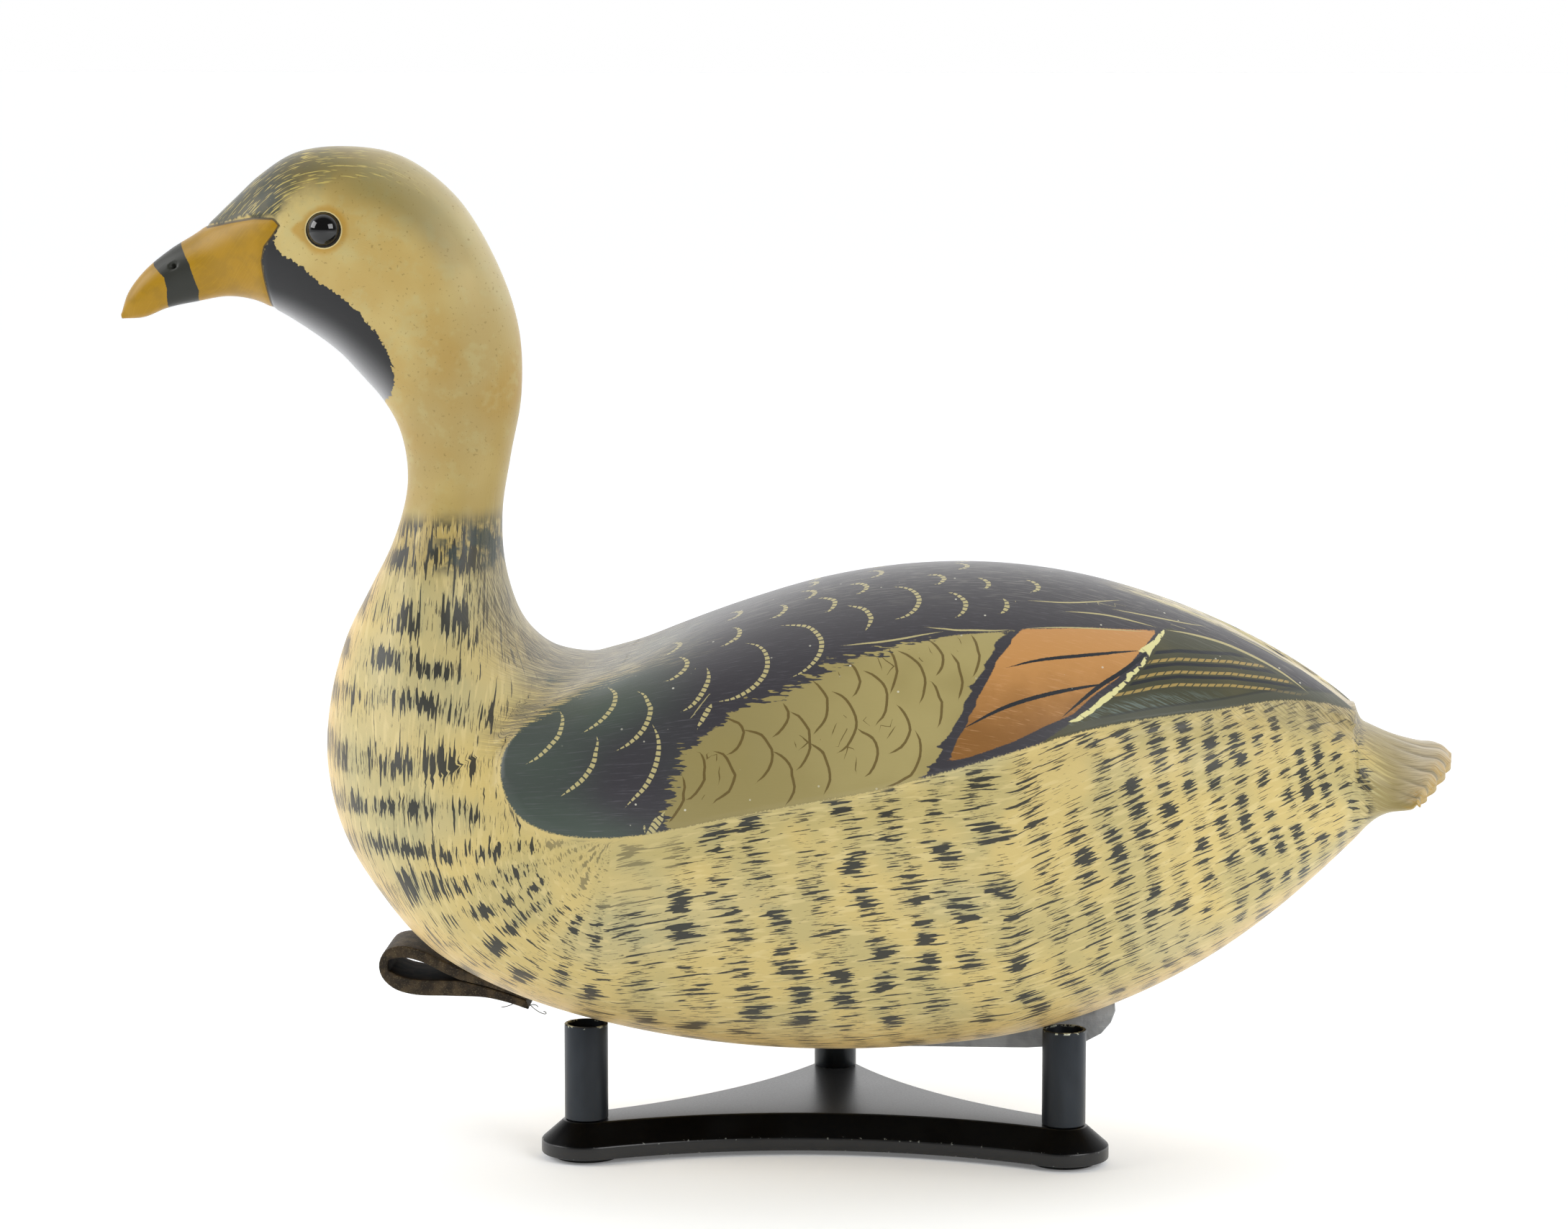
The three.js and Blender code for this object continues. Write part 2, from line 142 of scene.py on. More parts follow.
# %% [markdown]
# ## Small tools for materials
# Paint colours are written as they look on a screen, in hex. Blender mixes light in linear numbers, so
# one function converts them. One more function adds a node, fills its inputs and returns its output as a
# layer. Layers can be added, subtracted, multiplied and divided in a plain formula, and each sign in it
# becomes a node. So a long chain of nodes reads as one short sum: a mask times a share, or one mask less
# another.

# %% Material helpers
def colour(hex_code):
    """An sRGB hex colour as the linear numbers that a shader needs."""
    parts = [int(hex_code[i:i + 2], 16) / 255 for i in (1, 3, 5)]
    return (*[p / 12.92 if p <= 0.04045 else ((p + 0.055) / 1.055) ** 2.4 for p in parts], 1)


def add(tree, kind, inputs=None, out=0, **settings):
    """Adds one node, sets it up, fills or links its inputs, and returns one of its outputs."""
    node = tree.nodes.new("ShaderNode" + kind)
    for key, value in settings.items():
        setattr(node, key, value)
    for key, value in (inputs or {}).items():
        if isinstance(value, Layer):
            value.into(node, key)
        else:
            node.inputs[key].default_value = colour(value) if isinstance(value, str) else value
    return Layer(node.outputs[out])


class Layer:
    """One output of a node, ready for sums with numbers and other layers."""

    def __init__(self, socket):
        self.socket = socket
        self.tree = socket.id_data

    def into(self, node, key):
        """Leads the layer into an input of another node."""
        self.tree.links.new(self.socket, node.inputs[key])

    def sum_up(self, operation, *values):
        """Adds the node for one sign of a formula."""
        return add(self.tree, "Math", dict(enumerate(values)), operation=operation)

    def __add__(self, other):
        return self.sum_up("ADD", self, other)

    def __sub__(self, other):
        return self.sum_up("SUBTRACT", self, other)

    def __rsub__(self, other):
        return self.sum_up("SUBTRACT", other, self)

    def __mul__(self, other):
        return self.sum_up("MULTIPLY", self, other)

    def __truediv__(self, other):
        return self.sum_up("DIVIDE", self, other)

    def __abs__(self):
        return self.sum_up("ABSOLUTE", self)

    def __floor__(self):
        return self.sum_up("FLOOR", self)

    def __ceil__(self):
        return self.sum_up("CEIL", self)

    def fraction(self):
        return self.sum_up("FRACT", self)

    def at_least(self, other):
        return self.sum_up("MAXIMUM", self, other)

    def at_most(self, other):
        return self.sum_up("MINIMUM", self, other)

    def split(self):
        """The three numbers of a place or direction, each as a layer."""
        node = add(self.tree, "SeparateXYZ", {0: self}).socket.node
        return [Layer(socket) for socket in node.outputs]


def start_material(name, **shader_settings):
    """A new material, its node tree and its shader."""
    material = bpy.data.materials.new(name)
    material.use_nodes = True
    shader = material.node_tree.nodes["Principled BSDF"]
    for key, value in shader_settings.items():
        shader.inputs[key].default_value = value
    return material, material.node_tree, shader


def rise(value, low, high):
    """0 where value is below low, 1 where it is above high, and a soft edge between."""
    return add(value.tree, "MapRange", {"Value": value, "From Min": low, "From Max": high},
               interpolation_type="SMOOTHSTEP")


def fall(value, low, high):
    """1 where value is below low, 0 where it is above high, and a soft edge between."""
    return 1 - rise(value, low, high)


def near_to(value, centre, inner, outer):
    """1 where the value is close to the centre, 0 where it is far from it."""
    return fall(abs(value - centre), inner, outer)


def coat(under, over, mask):
    """Lays one colour of paint over another where the mask is 1."""
    return add(mask.tree, "Mix", {0: mask, 6: under, 7: over}, out=2, data_type="RGBA")


def mottle(place, size, detail=2.0, rough=0.55):
    """Cloudy noise; size is its grain in the units of place, one number or one for each axis."""
    sizes = (size, size, size) if isinstance(size, (int, float)) else size
    scaled = add(place.tree, "VectorMath", {0: place, 1: tuple(1 / s for s in sizes)}, operation="MULTIPLY")
    return add(place.tree, "TexNoise", {"Vector": scaled, "Scale": 1, "Detail": detail, "Roughness": rough})


def object_mm(tree):
    """The place on the object, in millimetres."""
    place = add(tree, "TexCoord", out=3)
    return add(tree, "VectorMath", {0: place, 1: (1 / MM,) * 3}, operation="MULTIPLY")


# %% [markdown]
# ## The form of the carving
# A bird has no edges to extrude, and a sphere pushed about would never meet the measured outline. So the
# form is drawn as a boat builder draws a hull: closed oval sections stand between the back line and the
# belly line, from the bill's tip to the tail's tip, and a smooth skin runs over them. They are the
# measured solid's own sections, but for the root of the tail, which is fuller here, so that no groove
# shows where the finer skin runs from the rump into the tail.

# %% Sections, in millimetres
SECTIONS = np.array([  # back x z, front x z, half-width, fullness above and below, droop, sweep
    (-244.9, 308.2, -244.6, 306.2, 1.6, 2, 2, 0, 0), (-242.2, 315.8, -236.5, 306.8, 4.6, 2, 2, 0, 0),
    (-236.0, 323.9, -227.5, 310.3, 6.4, 2, 2.2, 0, 0), (-226.6, 331.6, -217.0, 312.6, 8.2, 2, 2.2, 0, 0),
    (-214.0, 339.6, -205.0, 314.6, 11, 2, 2.1, 0, 0), (-203.0, 349.6, -194.8, 313.2, 16, 2, 2, 0, 0),
    (-192.0, 359.6, -185.6, 309.0, 20.5, 2, 2, 0, 0), (-179.0, 367.4, -175.4, 302.8, 23.5, 2.1, 2, 0, 0),
    (-161.0, 369.6, -164.0, 294.4, 25, 2.2, 2, 0, 0), (-141.0, 366.2, -155.4, 285.4, 25, 2.2, 2, 0, 0),
    (-121.5, 352.2, -148.0, 276.8, 23.5, 2.2, 2, 0, 0), (-107.0, 329.6, -142.8, 267.8, 21.5, 2.1, 2, 0, 0),
    (-98.2, 304.4, -140.0, 257.6, 19, 2, 2, 0, 0), (-97.2, 279.0, -139.4, 246.4, 17.5, 2, 2, 0, 0),
    (-101.4, 256.0, -141.0, 236.8, 17.5, 2, 2, 0, 0), (-104.6, 235.0, -145.4, 223.4, 21, 2, 2, 0, 0),
    (-103.4, 214.0, -153.4, 207.4, 31, 2, 2, 0, 0), (-96.6, 195.0, -162.2, 189.6, 41, 2, 2, 0, 0),
    (-86.0, 185.4, -168.0, 167.6, 52.5, 2.1, 2.1, 0, 0), (-70.0, 183.6, -169.2, 143.4, 63, 2.2, 2.2, 0, 0),
    (-54.0, 186.6, -163.0, 119.4, 72, 2.2, 2.4, 0, 0), (-36.0, 194.0, -149.6, 97.2, 79, 2.2, 2.5, 0, 0),
    (-14.0, 202.6, -130.0, 75.8, 84, 2.1, 2.6, 0, 0), (14.0, 211.4, -98.0, 58.8, 85, 2, 2.7, 0, 0),
    (44.0, 216.6, -54.0, 46.4, 85.5, 2, 2.7, 0, 0), (75.0, 217.6, -4.0, 40.2, 85, 2, 2.7, 0, 0),
    (105.0, 214.2, 46.0, 40.5, 82.5, 2, 2.6, 0, 0), (133.0, 207.0, 92.0, 46.6, 76, 2, 2.5, 0, 0),
    (157.0, 198.0, 128.0, 58.6, 67, 2, 2.3, 0, 0), (178.0, 187.8, 157.0, 73.6, 54.5, 2.1, 2.2, 0, 0),
    (196.0, 177.2, 181.0, 90.8, 43, 2.1, 2.1, 0, 0), (209.2, 167.2, 202.2, 109.8, 32.9, 2.1, 2, 0, 0),
    (209.8, 165.2, 209.0, 116.6, 31.6, 2, 2, 0, 0), (221.3, 156.5, 219.6, 129.0, 31.6, 2, 2, 6.4, 0),
    (233.0, 152.5, 231.0, 135.1, 36.2, 2, 2, 8.6, 4.4), (240.8, 151.4, 240.0, 143.4, 38.6, 2, 2, 11.2, 11),
    (244.9, 148.1, 244.9, 145.3, 38.8, 2, 2, 11.7, 14.4),
])
BACK, FRONT = slice(0, 2), slice(2, 4)
HALF_WIDTH, TOP_FULLNESS, LOW_FULLNESS, DROOP, SWEEP = range(4, 9)
LAST = len(SECTIONS) - 1
print("sections:", len(SECTIONS))

# %% Curves through points, and values between sections
def smooth_curve(points, places):
    """A smooth curve through points, read at places from 0 to 1."""
    points = np.asarray(points, float)
    padded = np.vstack([2 * points[0] - points[1], points, 2 * points[-1] - points[-2]])
    at = np.clip(places, 0, 1) * (len(points) - 1)
    first = np.minimum(at.astype(int), len(points) - 2)
    f = (at - first)[..., None]
    p0, p1, p2, p3 = (padded[first + k] for k in range(4))
    d0, d1, d2 = (np.sqrt(np.linalg.norm(b - a, axis=-1))[..., None]
                  for a, b in ((p0, p1), (p1, p2), (p2, p3)))
    lean1 = ((p1 - p0) / d0 - (p2 - p0) / (d0 + d1) + (p2 - p1) / d1) * d1
    lean2 = ((p2 - p1) / d1 - (p3 - p1) / (d1 + d2) + (p3 - p2) / d2) * d1
    return p1 + f * (lean1 + f * (3 * (p2 - p1) - 2 * lean1 - lean2 + f * (2 * (p1 - p2) + lean1 + lean2)))


def spaced(points, count):
    """Evenly spaced points on the smooth curve."""
    dense = smooth_curve(points, np.linspace(0, 1, 40 * len(points)))
    length = np.concatenate([[0], np.cumsum(np.linalg.norm(np.diff(dense, axis=0), axis=1))])
    wanted = np.linspace(0, length[-1], count)
    return np.stack([np.interp(wanted, length, column) for column in dense.T], axis=1)


def section_value(column, t):
    """One of a section's plain numbers, read smoothly between sections."""
    values = SECTIONS[:, column]
    at = np.clip(t, 0, 1) * LAST
    first = np.minimum(at.astype(int), LAST - 1)
    a, b, c, d = (values[np.clip(first + k, 0, LAST)] for k in (-1, 0, 1, 2))
    f = at - first
    return b + 0.5 * f * (c - a + f * (2 * a - 5 * b + 4 * c - d + f * (3 * (b - c) + d - a)))


def surface(t, turn):
    """A point of the smooth form: t runs from bill to tail, turn from the back (0) to the belly (pi)."""
    t, turn = np.broadcast_arrays(t, turn)
    back = smooth_curve(SECTIONS[:, BACK], t)
    front = smooth_curve(SECTIONS[:, FRONT], t)
    power = 2 / np.where(np.cos(turn) > 0, section_value(TOP_FULLNESS, t), section_value(LOW_FULLNESS, t))
    up = np.sign(np.cos(turn)) * np.abs(np.cos(turn)) ** power
    out = np.sign(np.sin(turn)) * np.abs(np.sin(turn)) ** power
    line = front + (back - front) * (0.5 + 0.5 * up)[..., None]
    x = line[..., 0] - section_value(SWEEP, t) * out ** 2
    z = line[..., 1] - section_value(DROOP, t) * out ** 2
    return np.stack([x, -out * section_value(HALF_WIDTH, t), z], axis=-1)


def surface_normal(t, turn):
    step = 0.002
    along = surface(np.minimum(t + step, 1), turn) - surface(np.maximum(t - step, 0), turn)
    around = surface(t, turn + step) - surface(t, turn - step)
    normal = np.cross(around, along)
    return normal / np.maximum(np.linalg.norm(normal, axis=-1, keepdims=True), 1e-12)


# %% [markdown]
# ## Outlines on the side of the bird
# The wing's edge and the patches of paint are outlines seen from the side. For every point of the skin,
# two functions say whether it lies inside an outline and how many millimetres it is from its edge.

# %% Outline helpers
def inside(loop, x, z):
    result = np.zeros(np.shape(x), bool)
    for a, b in zip(loop, np.roll(loop, -1, axis=0)):
        if a[1] != b[1]:
            crossing = (a[1] > z) != (b[1] > z)
            result ^= crossing & (x < (b[0] - a[0]) * (z - a[1]) / (b[1] - a[1]) + a[0])
    return result


def distance_to(path, x, z):
    best = np.full(np.shape(x), 1e9)
    for a, b in zip(path[:-1], path[1:]):
        side = b - a
        f = np.clip(((x - a[0]) * side[0] + (z - a[1]) * side[1]) / (side @ side), 0, 1)
        best = np.minimum(best, np.hypot(x - a[0] - f * side[0], z - a[1] - f * side[1]))
    return best


def patch(outline, x, z):
    """Millimetres inside a closed outline, or below 0 outside it."""
    loop = np.array(outline, float)
    distance = distance_to(np.vstack([loop, loop[:1]]), x, z)
    return np.where(inside(loop, x, z), distance, -distance)


# %% The wing's carved edge
ABOVE_BACK = 260
wing_outline = [
    (-34, 193), (-52, 184.6), (-66, 179), (-80, 172), (-91, 165), (-97, 155.5), (-96, 145.5), (-91, 137),
    (-82, 131.6), (-68, 129.2), (-50, 129.8), (-18, 136.4), (8, 141.6), (34, 146.4), (60, 153),
    (84, 159.6), (109, 166.4), (134, 170), (158, 171.6), (175, 172.9), (186, 172.3), (196, 170.4),
    (209.3, 165.8),
]
wing_path = spaced(wing_outline, 90)
wing_loop = np.vstack([wing_path, [(wing_outline[-1][0], ABOVE_BACK), (wing_outline[0][0], ABOVE_BACK)]])
STEP_DEPTH, STEP_SPREAD, STEP_WIDTH, FRONT_WIDTH = 2.6, 11, 2.2, 7
HIGHEST_EDGE = 0.2 * math.pi
LEAD_IN, LEAD_OUT = 0.11, 0.09
EDGE_ROW, HALF_ROWS = 52, 100


def wing_edges(t):
    """For each ring, whether it crosses the wing and the turn of the wing's lower edge."""
    turns = np.linspace(math.pi, 0, 601)
    points = surface(t[:, None], turns[None, :])
    hit = inside(wing_loop, points[..., 0], points[..., 2])
    return hit.any(axis=1), np.maximum(turns[np.argmax(hit, axis=1)], HIGHEST_EDGE)


# %% [markdown]
# ## The skin's grid
# The skin is a grid that is rolled round the form like veneer. Rings stand closest on the bill, where
# the nostril is, and one row of points follows the wing's lower edge, so that the carved step there
# stays crisp. The ground below the wing is carved down, and the wing itself stays at full height.

# %% Rings and rows of the skin
ring_groups = [(0, 6, 84), (6, 17, 110), (17, 32, 232), (32, LAST, 44)]
places = [np.linspace(a, b, count, endpoint=False) for a, b, count in ring_groups]
t = np.append(np.concatenate(places), LAST) / LAST
crossed, edge_turn = wing_edges(t)
wing_front = np.argmax(crossed)
ahead = np.clip(np.abs(t - t[wing_front]) / LEAD_IN, 0, 1)
lead_in = edge_turn[wing_front] + (math.pi / 2 - edge_turn[wing_front]) * ahead
wing_rear = np.flatnonzero(crossed)[-1]
behind = np.clip((t - t[wing_rear]) / LEAD_OUT, 0, 1)
lead_out = edge_turn[wing_rear] + (math.pi / 2 - edge_turn[wing_rear]) * behind
edge_turn = np.where(crossed, edge_turn, np.where(t < t[wing_front], lead_in, lead_out))
row = np.arange(HALF_ROWS + 1)
even_step = (math.pi - edge_turn) / (HALF_ROWS - EDGE_ROW)
foot_step = STEP_WIDTH / section_value(HALF_WIDTH, t)
foot_step = np.where(t < t[wing_front], even_step, foot_step + (even_step - foot_step) * behind)
foot_turn = edge_turn + foot_step
share_below = (row - EDGE_ROW - 1) / (HALF_ROWS - EDGE_ROW - 1)
turn = np.where(row <= EDGE_ROW, edge_turn[:, None] * row / EDGE_ROW,
                foot_turn[:, None] * (1 - share_below) + math.pi * share_below)
ring = np.broadcast_to(t[:, None], turn.shape)
section = ring * LAST
points = surface(ring, turn)
normals = surface_normal(ring, turn)
print("rings and rows:", points.shape[:2])

# %% Carve the step round the wing
x, z = points[..., 0], points[..., 2]
away = distance_to(wing_path, x, z)
on_edge = (row == EDGE_ROW) & crossed[:, None]
outside = ((row > EDGE_ROW) | ~inside(wing_loop, x, z)) & ~on_edge
step_width = np.where(crossed[:, None] & (row > EDGE_ROW), STEP_WIDTH, FRONT_WIDTH)
ramp = np.clip(away / step_width, 0, 1)
ramp = ramp * ramp * (3 - 2 * ramp)
carved = np.where(outside, STEP_DEPTH * ramp * np.exp(-(away / STEP_SPREAD) ** 2), 0)
points = points - normals * carved[..., None]
print("deepest step mm:", round(float(carved.max()), 2))

# %% [markdown]
# ## Carved details
# The wing tips stand up a little on both sides of the rump, which lies between them as a shallow valley.
# The tail is a fan of feathers that lie side by side, each a low ridge with a rounded tip. A fine groove
# parts the bill from the face, and the nostril is a small drilled hole.

# %% Valley between the wing tips
VALLEY_DEPTH, VALLEY_START, VALLEY_END = 1.9, 140, 207


def soft_step(value, low, high):
    share = np.clip((value - low) / (high - low), 0, 1)
    return share * share * (3 - 2 * share)


x = points[..., 0]
valley_half = np.interp(x, (VALLEY_START, VALLEY_END), (5, 13))
valley = 1 - soft_step(np.abs(points[..., 1]), valley_half - 3.5, valley_half)
valley = valley * soft_step(x, VALLEY_START, VALLEY_START + 45)
valley = valley * (1 - soft_step(x, VALLEY_END, VALLEY_END + 3))
points[..., 2] -= VALLEY_DEPTH * valley * (turn < math.pi / 2)

# %% Tail feathers
FEATHERS_ACROSS = 11
FEATHER_RELIEF, SCALLOP_DEPTH, FAN_ROOT = 1.0, 1.6, 32
feather = turn / math.pi * FEATHERS_ACROSS
feather_edge = (2 * np.abs(feather - np.round(feather))) ** 2
feather_edge = np.where(np.abs(feather - FEATHERS_ACROSS / 2) < 0.5, 0, feather_edge)
fan = soft_step(section, FAN_ROOT + 0.4, LAST - 1.6)
upper_side = np.clip((0.5 - turn / math.pi) / 0.03, 0, 1)
points[..., 2] += (0.4 - feather_edge) * FEATHER_RELIEF * fan * upper_side
points[..., 0] -= feather_edge * SCALLOP_DEPTH * np.clip((section - (LAST - 0.6)) / 0.6, 0, 1) ** 2

# %% Bill groove and nostril
x, z = points[..., 0], points[..., 2]
bill_outline = [
    (-260, 290), (-260, 345), (-216, 345), (-212, 340.3), (-201.5, 342.5), (-192.4, 344.1),
    (-184.6, 344), (-182.4, 341.6), (-184.8, 338), (-188.2, 333.8), (-189.4, 328.5), (-189, 323.5),
    (-188, 314.5), (-187.6, 290),
]
to_bill = patch(bill_outline, x, z)
GROOVE_DEPTH, GROOVE_WIDTH = 0.45, 0.9
groove = GROOVE_DEPTH * np.exp(-(to_bill / GROOVE_WIDTH) ** 2)
nostril = np.array((-224.2, -7.3, 326.1))
NOSTRIL_DEPTH, NOSTRIL_RADIUS = 2.2, 1.1
from_nostril = np.linalg.norm(points - nostril, axis=-1)
hole = NOSTRIL_DEPTH * np.exp(-(from_nostril / NOSTRIL_RADIUS) ** 4)
points = points - normals * (groove + hole)[..., None]
print("skin box mm:", points.reshape(-1, 3).min(0).round(1), points.reshape(-1, 3).max(0).round(1))

# %% [markdown]
# ## The bird's mesh
# Blender's grid primitive has the right faces already. Its points are moved onto the near half of the
# skin and, mirrored, onto the far half. Where the two edges of the grid meet along the back they are
# merged, and the small openings at the bill's tip and the tail's tip are closed.

# %% Roll the grid round the form
bird = new_piece("painted_bird", bpy.ops.mesh.primitive_grid_add, x_subdivisions=2 * HALF_ROWS,
                 y_subdivisions=len(t) - 1, size=1)


def both_sides(values, far=1):
    """A value for each point of the near half, repeated for the far half and multiplied by far."""
    return np.concatenate([values, far * values[:, -2::-1]], axis=1)


low, high = (np.array(corner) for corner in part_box("carved_bird"))
skin = both_sides(points * MM, far=np.array((1, -1, 1)))
bird.data.vertices.foreach_set("co", np.clip(skin, low, high).ravel())
print("points:", len(bird.data.vertices))

# %% [markdown]
# ## Maps for the painter
# Paint follows the bird and not the room: bars run round the body, and brush strokes run from head to
# tail. So each point of the skin carries a few numbers for the paint to read, such as its distance along
# the body and round it, and how far it lies inside each patch of colour. They are all smooth distances,
# so a patch painted from them has a sharp edge even between the points.

# %% Distances along and round the body
def save_map(name, first, second=0, third=0, far=(1, 1, 1)):
    """Stores three numbers for each point of the skin."""
    values = np.stack(np.broadcast_arrays(first, second, third), axis=-1)
    attribute = bird.data.attributes.new(name, "FLOAT_VECTOR", "POINT")
    attribute.data.foreach_set("vector", both_sides(values, np.array(far)).astype(np.float32).ravel())


def running_length(steps, axis):
    start = np.zeros_like(np.take(steps, [0], axis))
    return np.concatenate([start, np.cumsum(steps, axis)], axis)


FLANK_TURN = 0.6 * math.pi
flank_line = surface(t, np.full_like(t, FLANK_TURN))
spine = running_length(np.linalg.norm(np.diff(flank_line, axis=0), axis=1), 0)
girth = running_length(np.linalg.norm(np.diff(points, axis=1), axis=2), 1)
turn_share = turn / math.pi
x, z = points[..., 0], points[..., 2]
save_map("way", spine[:, None], girth, turn_share, far=(1, -1, 1))
print("length along the flank mm:", round(float(spine[-1])))

# %% [markdown]
# ### The flow of the brush
# On the neck the strokes run straight down. Below the wing's front they swing round to point at the
# tail, like the arms of a clock. A guide line down the middle of the breast and along the flank shows
# this course. The distance along a stroke is measured down the neck, then round a pivot, then towards
# the tail, and the distance across strokes is measured over the skin from the guide line.

# %% Brush flow
PIVOT_X, PIVOT_Z, SWING_RADIUS, GUIDE_RADIUS = -57, 129, 75, 61


def above_guide(x, z):
    """How far a point lies on the back's side of the guide line."""
    flank = z - np.interp(x, (PIVOT_X, 85, 205), (PIVOT_Z - GUIDE_RADIUS, 86, 136))
    quarter = GUIDE_RADIUS - np.hypot(x - PIVOT_X, z - PIVOT_Z)
    return np.where(x > PIVOT_X, flank, np.where(z > PIVOT_Z, x - PIVOT_X + GUIDE_RADIUS, quarter))


swing = SWING_RADIUS * np.arctan2(PIVOT_Z - z, PIVOT_X - x)
flow = np.where(x > PIVOT_X, SWING_RADIUS * math.pi / 2 + x - PIVOT_X,
                np.where(z > PIVOT_Z, PIVOT_Z - z, swing))
flow_places = np.linspace(flow.min(), flow.max(), 500)
rising = np.maximum.accumulate(flow, axis=0)
slices = np.stack([[np.interp(flow_places, rising[:, k], points[:, k, axis]) for axis in range(3)]
                   for k in range(HALF_ROWS + 1)])
widths = np.linalg.norm(np.diff(slices, axis=0), axis=1)
from_keel = np.cumsum(np.vstack([widths, np.zeros(len(flow_places))])[::-1], axis=0)[::-1]
above = above_guide(slices[:, 0], slices[:, 2])
guide = [np.interp(0, -above[:, j], from_keel[:, j]) for j in range(len(flow_places))]
across = np.stack([np.interp(flow[:, k], flow_places, from_keel[k] - guide)
                   for k in range(HALF_ROWS + 1)], axis=1)
chance_gain = 0.3 * soft_step(-x, 90, 130) + 0.27 * soft_step(x, 95, 140) * soft_step(z, 105, 135)
chance_gain = chance_gain - 0.2 * soft_step(x, 70, 125) * (1 - soft_step(z, 95, 125))
save_map("flow", flow, across + 200, far=(1, -1, 1))
cell_width = np.interp(x, (-130, -60, 60, 140, 200), (17, 12.5, 11, 8, 7))
save_map("cells", across / cell_width + 60, chance_gain)

# %% Bars: their beat along the flow, their strength, and the share of belly
FIRST_BAR, BAR_LEAN = -74, 0.22
spacing = np.interp(flow_places, (265, 290, 330, 365), (16.5, 12, 10, 7.5))
beat_at = running_length(np.diff(flow_places) / spacing[1:], 0)
beat_at = beat_at - np.interp(FIRST_BAR, flow_places, beat_at) + 50.5
strength = soft_step(flow, -112, -92) * (1 - soft_step(x, 207, 219))
from_pivot = np.hypot(x - PIVOT_X, z - PIVOT_Z)
strength = strength * np.maximum(soft_step(from_pivot, 12, 44), 0.3)
strength = strength * soft_step(turn_share, 0.02, 0.1) * soft_step(-patch(wing_loop, x, z), 0.4, 2.6)
leaning_flow = flow + BAR_LEAN * (z - 110) * soft_step(x, PIVOT_X, 0)
save_map("bars", np.interp(leaning_flow, flow_places, beat_at), strength, soft_step(turn_share, 0.72, 0.88))

# %% Patches of the head
band_outline = [
    (-234, 329.5), (-231.8, 325.8), (-227.5, 321.7), (-226.6, 317.5), (-227, 310.8), (-228, 300),
    (-216, 300), (-215.6, 312.9), (-214.7, 317), (-217.8, 326.8), (-221.5, 333.4), (-224, 338.5),
]
throat_outline = [
    (-182.4, 341.6), (-184.3, 336), (-183.2, 332.6), (-174.2, 327), (-167.2, 320.7), (-158.1, 314.8),
    (-152.6, 309), (-147.2, 302.5), (-143.5, 295.3), (-141.7, 289), (-141.8, 284.8), (-143, 280.4),
    (-145.8, 277.6), (-151, 272), (-176, 280), (-196, 300), (-188, 314.5), (-189, 323.5),
    (-189.4, 328.5), (-188.2, 333.8), (-184.8, 338),
]
cap_outline = [
    (-212, 340.3), (-201.5, 342.5), (-192.4, 344.1), (-184.6, 344), (-182.4, 343.6), (-179.4, 348.4),
    (-171.2, 353.5), (-161.2, 356.5), (-148.2, 357.6), (-137.3, 355), (-128.4, 349.8), (-121.3, 342),
    (-114.9, 331), (-109, 318), (-101, 300), (-60, 300), (-60, 400), (-230, 400), (-230, 344),
]
eye_low, eye_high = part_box("eye_left")
eye_centre = np.array((eye_low + eye_high) / 2) / MM
EYE_RADIUS = 6.5
beside_eye = np.abs(z - eye_centre[2])
ahead_of_eye = np.clip(eye_centre[0] - x, 0, 14)
from_eye = np.hypot(x - eye_centre[0], z - eye_centre[2])
ring_distance = from_eye - 0.3 * ahead_of_eye * np.exp(-(beside_eye / 3) ** 2)
save_map("head", to_bill, patch(band_outline, x, z), patch(throat_outline, x, z))
save_map("crown", patch(cap_outline, x, z), from_eye, section)
save_map("ring", ring_distance)

# %% Patches of the wing
mantle_loop = np.vstack([wing_path[4:], [(wing_outline[-1][0], ABOVE_BACK), (-84, ABOVE_BACK), (-84, 178)]])
covert_outline = [
    (-36, 120), (-36.5, 134), (-37.5, 141), (-35.5, 146), (-36.3, 149.8), (-32.6, 153), (-31.4, 158.4),
    (-26.5, 163.3), (-22.7, 166.2), (-19.1, 169.7), (-14.1, 173.3), (-7.8, 176.2), (-0.3, 178.8),
    (7.3, 181.2), (14.8, 184.8), (18.5, 188.3), (26.1, 190.2), (35, 192.3), (43.8, 194.9), (54, 196.7),
    (64.2, 198.3), (77, 199), (85.5, 199.6), (80.1, 197.5), (78.1, 196), (76.6, 194), (78.1, 193.6),
    (74, 188.8), (74.9, 188.2), (71.6, 184.2), (70.1, 182.3), (67.2, 181.4), (70.4, 180.8), (66.9, 176.2),
    (67, 173.8), (63, 167.9), (63.3, 167.4), (59.8, 163.8), (58, 161.4), (59.8, 161), (58.4, 158),
    (52, 151.6), (52, 138),
]
speculum_outline = [
    (87.4, 200), (112.9, 199.6), (136, 197.6), (128, 190), (121.4, 183.4), (113.4, 178.6), (105.6, 172.2),
    (95.1, 168.2), (85.1, 163.6), (75, 160.2), (68.7, 158.2), (61, 156.8), (63.3, 160.4), (64.8, 164.3),
    (68.8, 170.3), (68.4, 171.5), (71.5, 175.7), (71.2, 177.1), (74.5, 182.3), (77.4, 187.4),
    (78.4, 190.1), (83.4, 195.5), (83.7, 196.8),
]
primary_outline = [
    (139, 198.2), (146.8, 196), (160, 191.8), (170.5, 187), (180.9, 181.1), (186.1, 177.7), (196, 173.6),
    (212, 168), (216, 140), (86, 140), (90, 160), (107, 170.8), (115, 176), (124.4, 181.2), (131.4, 188),
    (136.5, 194.6),
]
